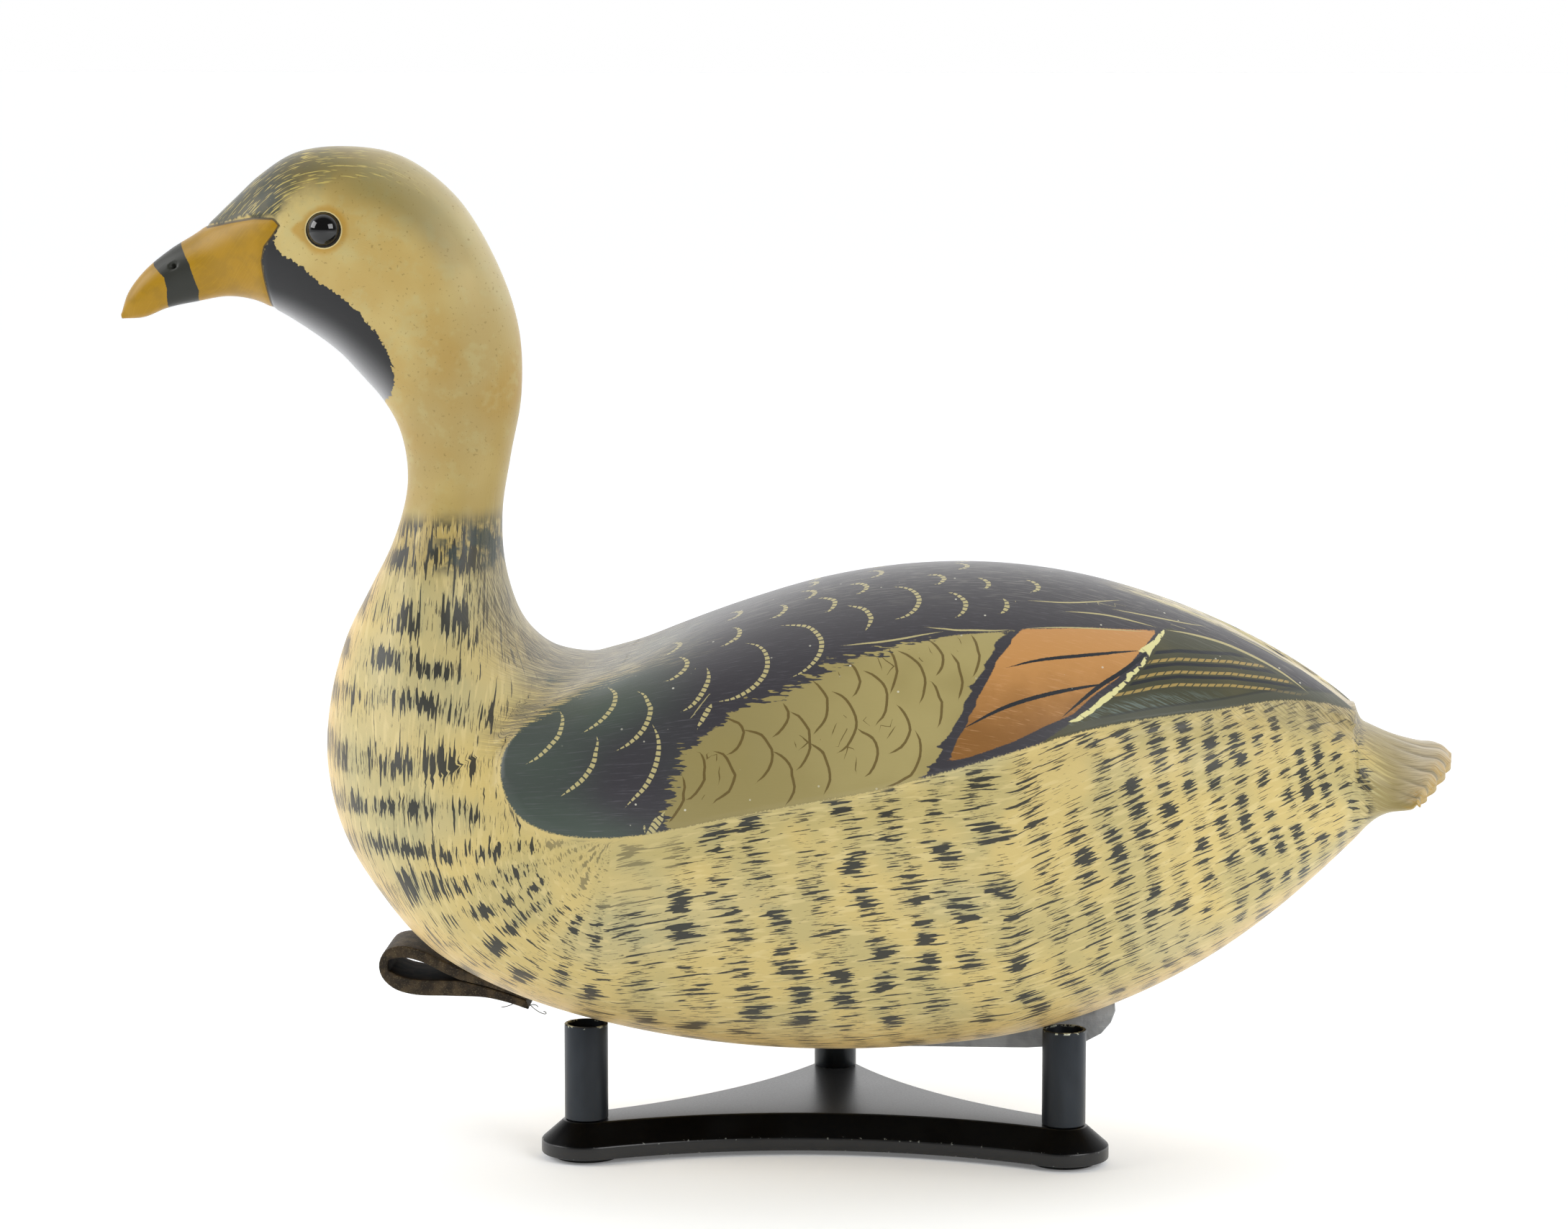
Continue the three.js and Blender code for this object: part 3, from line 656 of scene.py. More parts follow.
stripe_outline = [
    (139.3, 197.8), (137.1, 197.4), (134.9, 195.1), (132.8, 193.9), (129.7, 192.5), (126.6, 191.2),
    (129.4, 191.4), (132, 191.6), (130.9, 189.6), (129.6, 187.8), (127.5, 186.1), (124.9, 184.9),
    (121.6, 183.8), (124.2, 184), (125.6, 184.2), (123.1, 182.2), (120, 180.2), (116.5, 178),
    (112.4, 175.4), (114.8, 176), (111.6, 174.1), (107.8, 171.9), (102.6, 169), (107.8, 169.9),
    (112.4, 172.4), (116.7, 175.4), (120.6, 178.1), (124.4, 181.2), (128.3, 184.9), (131.8, 188),
    (134, 191.9), (137.1, 194.6),
]
vane_x = [121, 135, 143, 162, 175, 188]
vane_z = [182.4, 184.2, 184.5, 182.7, 180.3, 177.0]
vane_gap = np.interp(x, [125, 150, 185], [4.3, 3.9, 3.2])
vane_beat = (z - np.interp(x, vane_x, vane_z)) / vane_gap
save_map("wing", patch(wing_loop, x, z), patch(covert_outline, x, z), patch(speculum_outline, x, z))
save_map("primaries", patch(primary_outline, x, z), vane_beat, patch(stripe_outline, x, z))
save_map("mantle", patch(mantle_loop, x, z), valley_half - 3 - np.abs(points[..., 1]))
save_map("tail", feather, np.linalg.norm(points - points[-1], axis=-1), fan * upper_side)

# %% [markdown]
# ## Single brush lines
# Feather edges on the mantle and the coverts, the veins of the bright wing patch and the cream streaks
# over the rump are single strokes of a fine brush. Each is a short list of places: x, and the distance
# round the body from the back line. For the points near a stroke, the map holds the distance to one side
# of it, the length along it, and its half-width, which tapers to nothing at both ends.

# %% Places of a brush line
BRUSH_REACH, CLEAR_OF_OTHERS = 3.2, 4.0


def on_skin(line_x, line_girth):
    """The place on the near half of the skin."""
    weight = np.exp(-(np.hypot(x - line_x, girth - line_girth) / 1.2) ** 2)
    return (weight[..., None] * points).sum((0, 1)) / weight.sum()


def arc_through(first, middle, last):
    """Places on the circle through three places."""
    a, b, c = (complex(*place) for place in (first, middle, last))
    w = (c - a) / (b - a)
    centre = a + (b - a) * (w - abs(w) ** 2) / (2j * w.imag)
    turns = np.angle((c - centre) / (a - centre))
    if np.angle((b - centre) / (a - centre)) * turns < 0:
        turns -= math.copysign(2 * math.pi, turns)
    places = centre + (a - centre) * np.exp(1j * turns * np.linspace(0, 1, 9))
    return [(place.real, place.imag) for place in places]


def line_on_skin(places):
    return spaced([on_skin(*place) for place in (arc_through(*places) if len(places) == 3 else places)], 24)


# %% A map of brush lines
line_maps = {}


def brush_map(name, lines, taper=2.6):
    """lines holds (places, half-width, dashed) for each stroke. Strokes that come close to each other
    go to different layers, so that each layer holds clean distances."""
    layers = []
    for places, half_width, dashed in lines:
        curve = line_on_skin(places)
        apart = [all(np.linalg.norm(curve[:, None] - other[0][None], axis=-1).min() > CLEAR_OF_OTHERS
                     for other in layer) for layer in layers]
        if True not in apart:
            layers.append([])
            apart.append(True)
        layers[apart.index(True)].append((curve, half_width, dashed))
    line_maps[name] = [f"{name}_{number}" for number in range(len(layers))]
    for layer_name, layer in zip(line_maps[name], layers):
        nearest = np.full(x.shape, BRUSH_REACH)
        side_map, along_map, width_map = np.zeros(x.shape), np.zeros(x.shape), np.full(x.shape, -1.0)
        for curve, half_width, dashed in layer:
            step = np.linalg.norm(curve[1] - curve[0])
            for k, (a, b) in enumerate(zip(curve[:-1], curve[1:])):
                close = np.abs(points - (a + b) / 2).max(-1) < BRUSH_REACH + step
                offset = points[close] - a
                f = np.clip(offset @ (b - a) / step ** 2, 0, 1)
                offset = offset - f[:, None] * (b - a)
                distance = np.linalg.norm(offset, axis=1)
                side = np.sign((np.cross(normals[close], b - a) * offset).sum(1))
                better = distance < nearest[close]
                where = tuple(index[better] for index in np.nonzero(close))
                share = (k + f[better]) / (len(curve) - 1)
                nearest[where] = distance[better]
                side_map[where] = (side * distance)[better]
                along_map[where] = share * step * (len(curve) - 1) if dashed else 1.2
                width_map[where] = half_width * (1 - np.abs(2 * share - 1) ** taper)
        save_map(layer_name, side_map, along_map, width_map)
    print(name, "strokes:", len(lines), "layers:", len(layers))


# %% Cream lines
mantle_feathers = [
    [(-77, 73), (-76, 90), (-88, 109)], [(-61, 60), (-57, 75), (-68, 93)],
    [(-63, 96), (-63, 110), (-75, 128)], [(-50, 71), (-44, 85), (-56, 107)],
    [(-43, 93), (-41, 114), (-52, 134)], [(-38, 136), (-40, 141), (-45, 145)],
    [(-36, 51), (-32, 58), (-40, 69)], [(-25, 65), (-24, 75), (-33, 90)], [(-22, 87), (-24, 92), (-27, 99)],
    [(-17, 37), (-14, 44), (-21, 52)], [(-12, 53), (-3, 67), (-21, 87)],
    [(0, 46), (15.5, 58), (5, 78)], [(-1, 26), (2, 32), (-4, 38)], [(6, 16), (12, 21), (8, 27)],
    [(13, 29), (20, 35), (16, 42)], [(24, 39), (33, 48), (31, 57)], [(24, 20), (31, 26), (27, 31)],
    [(40, 28), (50, 37), (41, 51)], [(52, 19), (59, 23), (55, 28)], [(60, 34), (67, 41), (63, 50)],
    [(71, 22), (75, 26), (73, 31)], [(88, 20), (93, 25), (90, 30)], [(80, 36), (82, 41), (79, 46)],
    [(-40, 30), (-36, 37), (-42, 45)], [(-20, 14), (-15, 20), (-21, 26)],
    [(30, 4), (36, 10), (31, 16)], [(62, 2), (67, 8), (63, 13)], [(8, 2), (12, 7), (9, 11)],
]
cream_streaks = [
    ([(121, 5), (134, 8), (147, 8), (161, 6), (171, 6), (182, 6), (193, 4), (204, 2)], 1.3),
    ([(138, 32), (147, 28), (160, 24), (170, 23), (181, 23), (192, 25)], 0.85),
    ([(118, 30), (134, 26), (147, 21), (155, 16)], 0.5),
    ([(101, 39), (118, 34.5), (129, 33), (137, 32)], 0.5),
    ([(88, 36), (103, 33), (113, 28), (124, 20)], 0.45),
    ([(160, 12), (172, 12), (184, 12), (194, 9)], 0.45),
    ([(22, 64), (40, 62), (60, 57)], 0.5), ([(52, 55), (69, 56), (84, 53)], 0.5),
    ([(86, 52.5), (101, 48), (122, 41), (134, 36)], 0.4),
]
cream_lines = [(stroke, 0.95, True) for stroke in mantle_feathers]
brush_map("cream_lines", cream_lines + [(stroke, width, False) for stroke, width in cream_streaks])

# %% Brown and dark lines
covert_scales = [
    [(-26, 110), (-24, 121), (-31, 132)],
    [(-32, 121), (-31, 129), (-37, 142)], [(-21, 110), (-13.5, 120), (-21, 132)],
    [(-17, 95), (-10.5, 104), (-16, 112)], [(-11, 101), (0, 111), (-6, 124)],
    [(0, 111), (6, 117), (4, 133)], [(3, 89), (5, 97), (-1, 105)],
    [(6, 94), (13, 105), (8, 119)], [(13, 107), (19, 114), (18, 128)],
    [(13, 80), (19, 92), (14, 104)], [(20, 85), (29, 97), (23, 111)],
    [(25, 72), (30, 80), (28, 88)], [(31, 76), (40, 87), (36, 99)], [(40, 66), (43, 75), (41, 86)],
    [(43, 67), (53, 78), (51, 90)], [(54, 62), (59, 68), (57, 78)], [(62, 67), (66, 77), (65, 87)],
    [(69, 58), (72, 66), (70, 77)], [(55, 80), (59, 88), (58, 98)], [(43, 90), (48, 99), (41, 110)],
    [(50, 100), (52, 107), (40, 122)], [(29, 101), (37, 110), (32, 120)],
]
shaft_ticks = [
    [(-19, 116), (-18.5, 120), (-19, 124)], [(8, 107), (8, 110)],
    [(22, 99), (20, 105)], [(22, 76), (23, 79)], [(36, 70), (38, 76)], [(54, 65), (55, 68)],
    [(65, 60), (66, 63)], [(43, 99), (40, 105)], [(30, 112), (29, 118)],
]
brush_map("brown_lines", [(stroke, 0.55, False) for stroke in covert_scales]
          + [(stroke, 0.28, False) for stroke in shaft_ticks], taper=7)
brush_map("dark_lines", [
    ([(81, 71.5), (93, 65.5), (109, 58.5), (131, 47)], 0.8, False),
    ([(66, 98), (81, 87), (96, 78.5), (121, 65)], 0.85, False),
    ([(138, 36), (131, 49), (123, 60), (114, 70), (101, 86)], 0.9, False),
])

# %% Close the mesh
pick(bird)
bpy.ops.object.mode_set(mode="EDIT")
bpy.ops.mesh.select_mode(type="VERT")
bpy.ops.mesh.select_all(action="SELECT")
bpy.ops.mesh.remove_doubles(threshold=2e-6)
bpy.ops.mesh.select_all(action="DESELECT")
bpy.ops.mesh.select_non_manifold()
bpy.ops.mesh.fill_holes(sides=0)
bpy.ops.mesh.select_face_by_sides(number=4, type="GREATER")
bpy.ops.mesh.quads_convert_to_tris(quad_method="BEAUTY", ngon_method="BEAUTY")
bpy.ops.mesh.select_all(action="DESELECT")
bpy.ops.mesh.select_non_manifold()
open_edges = bird.data.total_edge_sel
bpy.ops.mesh.select_all(action="SELECT")
bpy.ops.mesh.normals_make_consistent(inside=False)
bpy.ops.object.mode_set(mode="OBJECT")
bpy.ops.object.shade_smooth()
print("open edges after closing:", open_edges)

# %% [markdown]
# ## The painted cedar
# Decoy paint is oil colour brushed on primed cedar, then varnished. The varnish gives a satin sheen, the
# strokes leave low ridges, and thin dry paint catches only the high grain. The paint is built in the
# order in which a painter lays it: ground colours, bars, wing, head, tail, and last the fine lines.

# %% Paint: ground colours
paint, tree, shader = start_material("varnished_oil_paint_on_cedar", IOR=1.5)
shader.inputs["Specular IOR Level"].default_value = 0.28
shader.inputs["Sheen Weight"].default_value = 0.12
shader.inputs["Sheen Roughness"].default_value = 0.4
place = object_mm(tree)


def read_map(name):
    """The map as one vector, then its three numbers."""
    vector = add(tree, "Attribute", out=1, attribute_name=name)
    return vector, *vector.split()


way, _, girth_mm, around = read_map("way")
brush, *_ = read_map("flow")
_, cells, chance_gain, _ = read_map("cells")
_, beat, bar_strength, belly_share = read_map("bars")
_, to_cap, from_eye_mm, section_number = read_map("crown")
place_x, _, place_z = place.split()
clouds = mottle(place, 34)
drifts = mottle(place, (80, 80, 50), detail=1)
smoke = mottle(place, 9, detail=4, rough=0.6)
speckle = mottle(place, 0.7)
long_strokes = mottle(brush, (17, 1.5, 1), detail=1, rough=0.5)
dry_strokes = mottle(brush, (6.5, 0.55, 1), detail=3, rough=0.6)
hair_strokes = mottle(way, (9, 0.5, 1), detail=3, rough=0.6)
dry_hairs = mottle(way, (14, 0.8, 1), detail=2)
wobble = (speckle - 0.5) * 1.2

ground = coat("#c9b474", "#b9aa72", rise(clouds, 0.42, 0.62))
ground = coat(ground, "#a8a583", rise(drifts, 0.52, 0.68) * 0.45)
ground = coat(ground, "#d3af68", belly_share * 0.75)
neck_share = fall(section_number, 12.8, 16)
ground = coat(ground, "#a8925a", neck_share)
head_share = fall(section_number, 9.8, 11.8)
ground = coat(ground, "#c1ae72", head_share * 0.85)
low_neck = rise(place_z, 204, 224) * fall(place_z, 236, 250)
ground = coat(ground, "#a58f52", low_neck * 0.6)
ground = coat(ground, "#a5802f", neck_share * rise(clouds, 0.42, 0.66) * 0.45)
ground = coat(ground, "#b3aa78", neck_share * rise(smoke, 0.48, 0.66) * 0.35)

# %% [markdown]
# ### Bars
# The painter dragged a nearly dry brush along the body in short strokes, one bar after another. Noise
# that is stretched along the flow of the brush makes the strokes. Each bar is cut into cells, and chance
# gives every cell its own load of paint, so a few cells become solid blots and most stay faint.

# %% Paint: bars and strokes
patchy = mottle(place, 17)
top_share = fall(around, 0.12, 0.36)
nape_share = fall(around, 0.3, 0.5) * rise(place_z, 180, 195)
collar_share = rise(place_z, 210, 222) * rise(patchy, 0.44, 0.54)
nape_share = nape_share.at_least(collar_share * 0.9)
bar_wander = mottle(place, (45, 45, 26), detail=1)
bar_beat = beat + (bar_wander - 0.5) * 1.2
bar_number = math.floor(bar_beat)
cell_place = cells + bar_number * 0.37
cell_number = math.floor(cell_place)
chance = add(tree, "TexWhiteNoise", {"Vector": add(tree, "CombineXYZ", {0: bar_number, 1: cell_number})})
chance = chance + chance_gain
brush_lift = mottle(brush, (30, 0.9, 1), detail=1)
in_bar_place = bar_beat.fraction() + brush_lift - 0.5
in_bar = near_to(in_bar_place, 0.5, 0.16, 0.4)
in_cell = near_to(cell_place.fraction(), 0.5, 0.2, 0.5)
load = near_to(in_bar_place, 0.5, 0.12, 0.36) * in_cell * rise(chance, 0.42, 0.85)
haze = (in_bar - 0.1) * rise(patchy, 0.26, 0.54)
haze = haze.at_least(nape_share)
stroke_height = long_strokes * 0.8 + dry_strokes * 0.2
stroke_limit = 0.64 - load * 0.15 - haze * 0.09
dry_limit = 0.635 - haze * 0.1 - belly_share * 0.02
stroke_mask = rise(stroke_height - stroke_limit, -0.004, 0.016)
dry_mask = rise(dry_strokes - dry_limit, 0, 0.03) * 0.85
ink_share = rise(bar_strength, 0.04, 0.55)
ink_mask = stroke_mask.at_least(dry_mask) * ink_share
pale_sweeps = rise(mottle(brush, (16, 2.6, 1)), 0.52, 0.6) * (1 - in_bar) * ink_share * 0.45
ground = coat(ground, "#d9c78d", pale_sweeps)
ground = coat(ground, "#86896f", load * ink_share * 0.3)
ink_tone = coat("#23272a", "#67542f", belly_share * 0.8)
ground = coat(ground, ink_tone, ink_mask * 0.94)

# %% Paint: nape, back of the neck and shoulders
back_share = top_share * rise(section_number, 14.2, 16.8)
ground = coat(ground, "#92876b", back_share * 0.65)
ground = coat(ground, "#c9bd97", rise(dry_hairs, 0.52, 0.6) * back_share * 0.5)
ground = coat(ground, "#453f34", rise(hair_strokes, 0.49, 0.57) * back_share * 0.75)
smudge = (rise(place_z, 213, 220) * fall(place_z, 228, 240) * fall(around, 0.42, 0.62)
          * rise(smoke, 0.4, 0.54) * 0.9)
ground = coat(ground, "#3e4642", smudge)

# %% [markdown]
# ### Wing
# The wing is blocked in with dark slate, with a green tint on the shoulder. The khaki coverts have a
# barbed front edge, where the dark brush was pulled out over them. Behind them come the orange patch, a
# cream bar and the dark flight feathers. Along the rear half a narrow band at the wing's edge is a painted
# highlight, as if a bevel caught the light, with a dark line along its top. A pale painted sheen lies
# along the top of the wing.

# %% Paint: mantle and coverts
_, to_wing, to_covert, to_speculum = read_map("wing")
_, to_mantle, to_valley, _ = read_map("mantle")
front_barbs = (hair_strokes - 0.5) * 11
crest_haze = place_x + (hair_strokes - 0.5) * 130
crest_thin = fall(crest_haze, -78, -30) * fall(around, 0.16, 0.24)
at_crest = fall(place_x, -60, -30) * rise(place_z, 160, 172)
mantle_edge = to_mantle + wobble * 1.7 + front_barbs * at_crest
wing_mask = rise(mantle_edge, -0.3, 0.5) * (1 - crest_thin)
outside_mantle = to_mantle * -1
shoulder_haze = (fall(outside_mantle, 0, 15) * rise(place_z, 152, 166) * fall(place_x, -45, -20)
                 * rise(hair_strokes, 0.36, 0.56) * 0.85)
ground = coat(ground, "#5f5a4d", shoulder_haze)
green_share = fall(place_x, -60, -20) * rise(drifts, 0.36, 0.56)
slate = coat("#39373b", "#434d45", green_share)
slate = coat(slate, "#66646a", rise(hair_strokes, 0.56, 0.72) * 0.4)
ground = coat(ground, slate, wing_mask)
khaki = coat("#8c8052", "#a29561", rise(place_x, -25, 55))
khaki = coat(khaki, "#8f8250", rise(clouds, 0.42, 0.62) * 0.5)
edge_barbs = mottle(place, (7, 60, 1))
barb_share = fall(place_x, 40, 66) * fall(to_covert, 3, 7)
edge_barbs = (edge_barbs - 0.5) * barb_share * 15
covert_mask = rise(to_covert + wobble * 0.6 + edge_barbs, -0.15, 0.25)
covert_mask = covert_mask * wing_mask
ground = coat(ground, khaki, covert_mask)

# %% Paint: orange patch and flight feathers
orange_height = place_z + smoke * 14
orange = coat("#845a2b", "#bb884f", rise(orange_height, 170, 200))
orange = coat(orange, "#cfa070", rise(hair_strokes, 0.56, 0.7) * 0.35)
orange_mask = rise(to_speculum + wobble * 0.6, -0.15, 0.25)
ground = coat(ground, orange, orange_mask * wing_mask)
_, to_primary, vane, to_stripe = read_map("primaries")
olive = coat("#4c4a33", "#40412f", rise(clouds, 0.42, 0.6))
teal_share = (rise(hair_strokes, 0.46, 0.62) * fall(vane, -1.9, -1.3) * rise(to_wing, 2.4, 3.4)
              * fall(place_x, 135, 168) * 0.65)
olive = coat(olive, "#6c7a73", teal_share)
VANE_DASH = 2.9
vane_share = (vane + 8.5).fraction()
vane_end = place_x + vane.at_least(0) * 10
in_vanes = (rise(vane, -1.3, -1.2) * fall(vane, 1.84, 1.9) * fall(vane_end, 183, 193)
            * rise(to_primary, 0.4, 1.4))
dash_place = (place_x - place_z) / VANE_DASH
dashes = rise(dash_place.fraction(), 0.14, 0.24)
tan_vein = near_to(vane_share, 0.5, 0.09, 0.14) * in_vanes * dashes
dark_vein = near_to(vane_share, 0.12, 0.11, 0.15) * in_vanes
olive = coat(olive, "#23262a", dark_vein)
olive = coat(olive, "#a48c50", tan_vein * 0.92)
primary_mask = rise(to_primary + wobble, -0.3, 0.3)
ground = coat(ground, olive, primary_mask * wing_mask)
# Painted highlight: a lighter band along the wing's rear edge, as if a bevel caught the light, with a dark
# line along its top.
painted_bevel_highlight = rise(place_x, 96, 112) * fall(to_wing, 2.9, 3.5) * wing_mask
ground = coat(ground, "#4a4c40", painted_bevel_highlight * 0.7)
bevel_line = rise(place_x, 110, 122) * near_to(to_wing, 3.3, 0.2, 0.6) * 0.6
ground = coat(ground, "#2c2f2e", bevel_line)
stripe_mask = rise(to_stripe + wobble * 0.2, -0.08, 0.1)
ground = coat(ground, "#d6d094", stripe_mask)
valley_mask = rise(to_valley, -0.6, 1.2) * rise(place_x, 148, 172) * wing_mask
ground = coat(ground, "#85796a", valley_mask * 0.8)
ground = coat(ground, "#d8c69c", valley_mask * rise(hair_strokes, 0.44, 0.54))
ridge_mask = fall(girth_mm, 7.5, 12.5) * rise(place_x, 112, 140) * fall(place_x, 200, 208) * wing_mask
ground = coat(ground, "#d6c79c", ridge_mask * rise(dry_hairs, 0.44, 0.52))
# Painted sheen: the top of the wing is paler grey, broken into streaks.
crest_painted_sheen = fall(around, 0.05, 0.2) * wing_mask * rise(dry_hairs, 0.54, 0.62) * 0.35
ground = coat(ground, "#8b8880", crest_painted_sheen)

# %% [markdown]
# ### Head
# The bill is ochre with a slate band, the throat has a slate patch whose upper edge is ragged like
# feather tips, and the cap is dark olive with fine yellow flecks that fade over the crown.

# %% Paint: cap, throat, bill and eye ring
to_front = fall(section_number, 5.6, 9)
cap_soft = rise(section_number, 5.6, 8) * 8 + 0.7
cap_edge = to_cap + (smoke - 0.5) * 9
cap_edge = cap_edge / cap_soft
behind_crown = fall(section_number, 9, 13)
cap_fade = to_front * 0.62 + behind_crown * 0.48
cap_mask = rise(cap_edge, -0.5, 1) * cap_fade
cap_tone = coat("#4a4731", "#3c3e30", rise(smoke, 0.4, 0.6))
ground = coat(ground, cap_tone, cap_mask)
crown_smoke = (near_to(section_number, 9.2, 0.5, 2.2) * near_to(around, 0.25, 0.03, 0.15)
               * rise(clouds, 0.3, 0.56) * 0.6)
ground = coat(ground, "#6c683f", crown_smoke)
fleck_noise = mottle(way, (5.5, 0.6, 1), detail=1)
flecks = (rise(fleck_noise, 0.59, 0.64) * rise(to_cap, 0.5, 2) * rise(cap_fade, 0.1, 0.5)
          * fall(section_number, 8.8, 10.2) * 0.85)
ground = coat(ground, "#bdab60", flecks)
# Painted sheen: the top of the crown is paler.
crown_painted_sheen = near_to(section_number, 10.2, 0.8, 2.6) * fall(around, 0.12, 0.3) * 0.55
ground = coat(ground, "#c3b78f", crown_painted_sheen)
cheek_specks = rise(mottle(place, 1.1, detail=1), 0.68, 0.72) * neck_share * 0.5
ground = coat(ground, "#7d6a38", cheek_specks)
_, to_bill_mm, to_band, to_throat = read_map("head")
ragged = (mottle(place, 1.3, detail=1) - 0.5) * 3.2
throat_mask = rise(to_throat + ragged, -0.12, 0.12)
# Painted reflection: the throat patch turns pale grey towards its underside, where the white floor would
# reflect.
throat_tone_with_painted_reflection = coat("#222223", "#a9a9ab", rise(around, 0.7, 0.95) * 0.82)
ground = coat(ground, throat_tone_with_painted_reflection, throat_mask)
_, ring_mm, *_ = read_map("ring")
ring_edge = ring_mm + (smoke - 0.5) * 4
eye_ring = fall(ring_edge, 7.4, 9.9)
ground = coat(ground, "#ab7f22", eye_ring * 0.62)
# Painted reflection: a pale ring just outside the glass eye.
ground = coat(ground, "#d8c891", fall(from_eye_mm, EYE_RADIUS + 0.25, EYE_RADIUS + 0.55) * 0.85)
ground = coat(ground, "#1a160f", fall(from_eye_mm, EYE_RADIUS - 0.1, EYE_RADIUS + 0.1))
ochre = coat("#9e7706", "#94700a", rise(smoke, 0.42, 0.6))
ochre = coat(ochre, "#b08b1e", rise(hair_strokes, 0.5, 0.7) * 0.3)
bill_mask = rise(to_bill_mm, -0.15, 0.15)
ground = coat(ground, ochre, bill_mask)
band_mask = rise(to_band + wobble * 0.35, -0.12, 0.12)
ground = coat(ground, "#272822", band_mask * bill_mask)
ground = coat(ground, "#27231a", near_to(to_bill_mm, 0, 0.25, 0.6) * 0.8)

# %% Paint: tail
_, feather_beat, from_tip, fan_share = read_map("tail")
in_feather = (feather_beat + 0.5).fraction()
# Painted shade: the grooves between the tail feathers are painted darker.
between = (1 - near_to(in_feather, 0.5, 0.32, 0.48)) * fan_share
tail_place = place_x + (dry_hairs - 0.5) * 40
tail_share = rise(tail_place, 209, 221) * (1 - wing_mask)
tail_tone = coat("#b8a98b", "#968a6d", rise(hair_strokes, 0.44, 0.6))
tail_tone = coat(tail_tone, "#8f7f45", (1 - fan_share) * 0.8)
tail_tone = coat(tail_tone, "#635a43", between * 0.55)
tip_share = fall(from_tip + smoke * 8, 4, 13)
tip_gold = tip_share * rise(dry_strokes, 0.36, 0.6) * (1 - between) * 0.85
tail_tone = coat(tail_tone, "#b08a33", tip_gold)
ground = coat(ground, tail_tone, tail_share * 0.88)

# %% Paint: brush lines and pale specks
def line_mask(name, edge_wobble):
    """1 on the brush lines of a map; also gives the length along them."""
    mask, length = 0.0, 0.0
    for layer_name in line_maps[name]:
        _, line_side, line_length, line_width = read_map(layer_name)
        layer = rise(line_width - abs(line_side) + wobble * edge_wobble, 0, 0.16)
        length = (line_length * math.ceil(layer)).at_least(length)
        mask = layer.at_least(mask)
    return mask, length


DASH_LENGTH = 2.1
brown_mask, _ = line_mask("brown_lines", 0.15)
ground = coat(ground, "#5a4822", brown_mask * covert_mask * 0.85)
cream_mask, cream_length = line_mask("cream_lines", 0.2)
cream_dash = rise((cream_length / DASH_LENGTH).fraction(), 0.22, 0.34)
cream_mask = cream_mask * cream_dash * wing_mask
dark_mask, _ = line_mask("dark_lines", 0.35)
ground = coat(ground, "#25282c", dark_mask * wing_mask * (1 - stripe_mask))
ground = coat(ground, "#b5aa78", cream_mask * 0.92)
dust = add(tree, "TexVoronoi", {"Vector": place, "Scale": 0.16}, feature="F1")
dust_mask = fall(dust, 0.05, 0.08) * rise(clouds, 0.5, 0.56)
ground = coat(ground, "#cfccba", dust_mask * wing_mask * 0.8)

# %% Paint: varnish sheen and brush relief
ground.into(shader, "Base Color")
sheen = hair_strokes * 0.14 + smoke * 0.08 + 0.29
sheen.into(shader, "Roughness")
relief = hair_strokes * 0.5 + ink_mask * 0.4
bump = add(tree, "Bump", {"Height": relief, "Distance": 0.12 * MM, "Strength": 0.8})
bump.into(shader, "Normal")
settle(bird, paint, "painted_wood", "carved_bird")

# %% [markdown]
# ## Glass eyes
# A taxidermist's eye is a dome of black glass with a flat back, set in a socket. A fine sphere is cut
# behind by a plane and filled there, then copied and mirrored to the other side of the head.

# %% Eyes
eye_glass, tree, shader = start_material("polished_black_glass", Roughness=0.04, IOR=1.52)
place = object_mm(tree)
coat("#040405", "#0a0908", mottle(place, 2)).into(shader, "Base Color")
EYE_BACK = 3.6
eye_place = (eye_low + eye_high) / 2
left_eye = new_piece("glass_eye_left", bpy.ops.mesh.primitive_uv_sphere_add, segments=64, ring_count=32,
                     radius=EYE_RADIUS * MM, location=eye_place)
bpy.ops.object.transform_apply(location=True, rotation=True, scale=True)
bpy.ops.object.mode_set(mode="EDIT")
bpy.ops.mesh.select_all(action="SELECT")
bpy.ops.mesh.bisect(plane_co=eye_place + Vector((0, EYE_BACK * MM, 0)), plane_no=(0, 1, 0), use_fill=True,
                    clear_outer=True)
bpy.ops.object.mode_set(mode="OBJECT")
smooth_under(left_eye, 40)
bpy.ops.object.duplicate()
right_eye = bpy.context.object
right_eye.name = right_eye.data.name = "glass_eye_right"
bpy.ops.object.mode_set(mode="EDIT")
bpy.ops.mesh.select_all(action="SELECT")
bpy.ops.transform.mirror(orient_type="GLOBAL", constraint_axis=(False, True, False),
                         center_override=(0, 0, 0))
bpy.ops.object.mode_set(mode="OBJECT")
face_outward(right_eye)
settle(left_eye, eye_glass, "black_glass", "eye_left")
settle(right_eye, eye_glass, "black_glass", "eye_right")

# %% [markdown]
# ## Keel weight
# The weight was cast in lead: a long block with soft corners that follows the belly. Its side is drawn
# as a filled circle whose points are moved onto the outline, then extruded across and bevelled.

# %% Flat outlines become blocks
def flat_piece(name, outline):
    """A filled circle whose points are moved onto an outline of as many places."""
    piece = new_piece(name, bpy.ops.mesh.primitive_circle_add, vertices=len(outline), fill_type="NGON")
    for vertex, place in zip(piece.data.vertices, outline):
        vertex.co = Vector(place) * MM
    return piece


def block_from_outline(name, outline, width, layers):
    """A filled outline [x, z] at one side, extruded across the bird in layers."""
    piece = flat_piece(name, [(outline_x, -width / 2, outline_z) for outline_x, outline_z in outline])
    bpy.ops.object.mode_set(mode="EDIT")
    for _ in range(layers):
        bpy.ops.mesh.extrude_region_move(TRANSFORM_OT_translate={"value": (0, width / layers * MM, 0)})
    bpy.ops.object.mode_set(mode="OBJECT")
    face_outward(piece)
    return piece


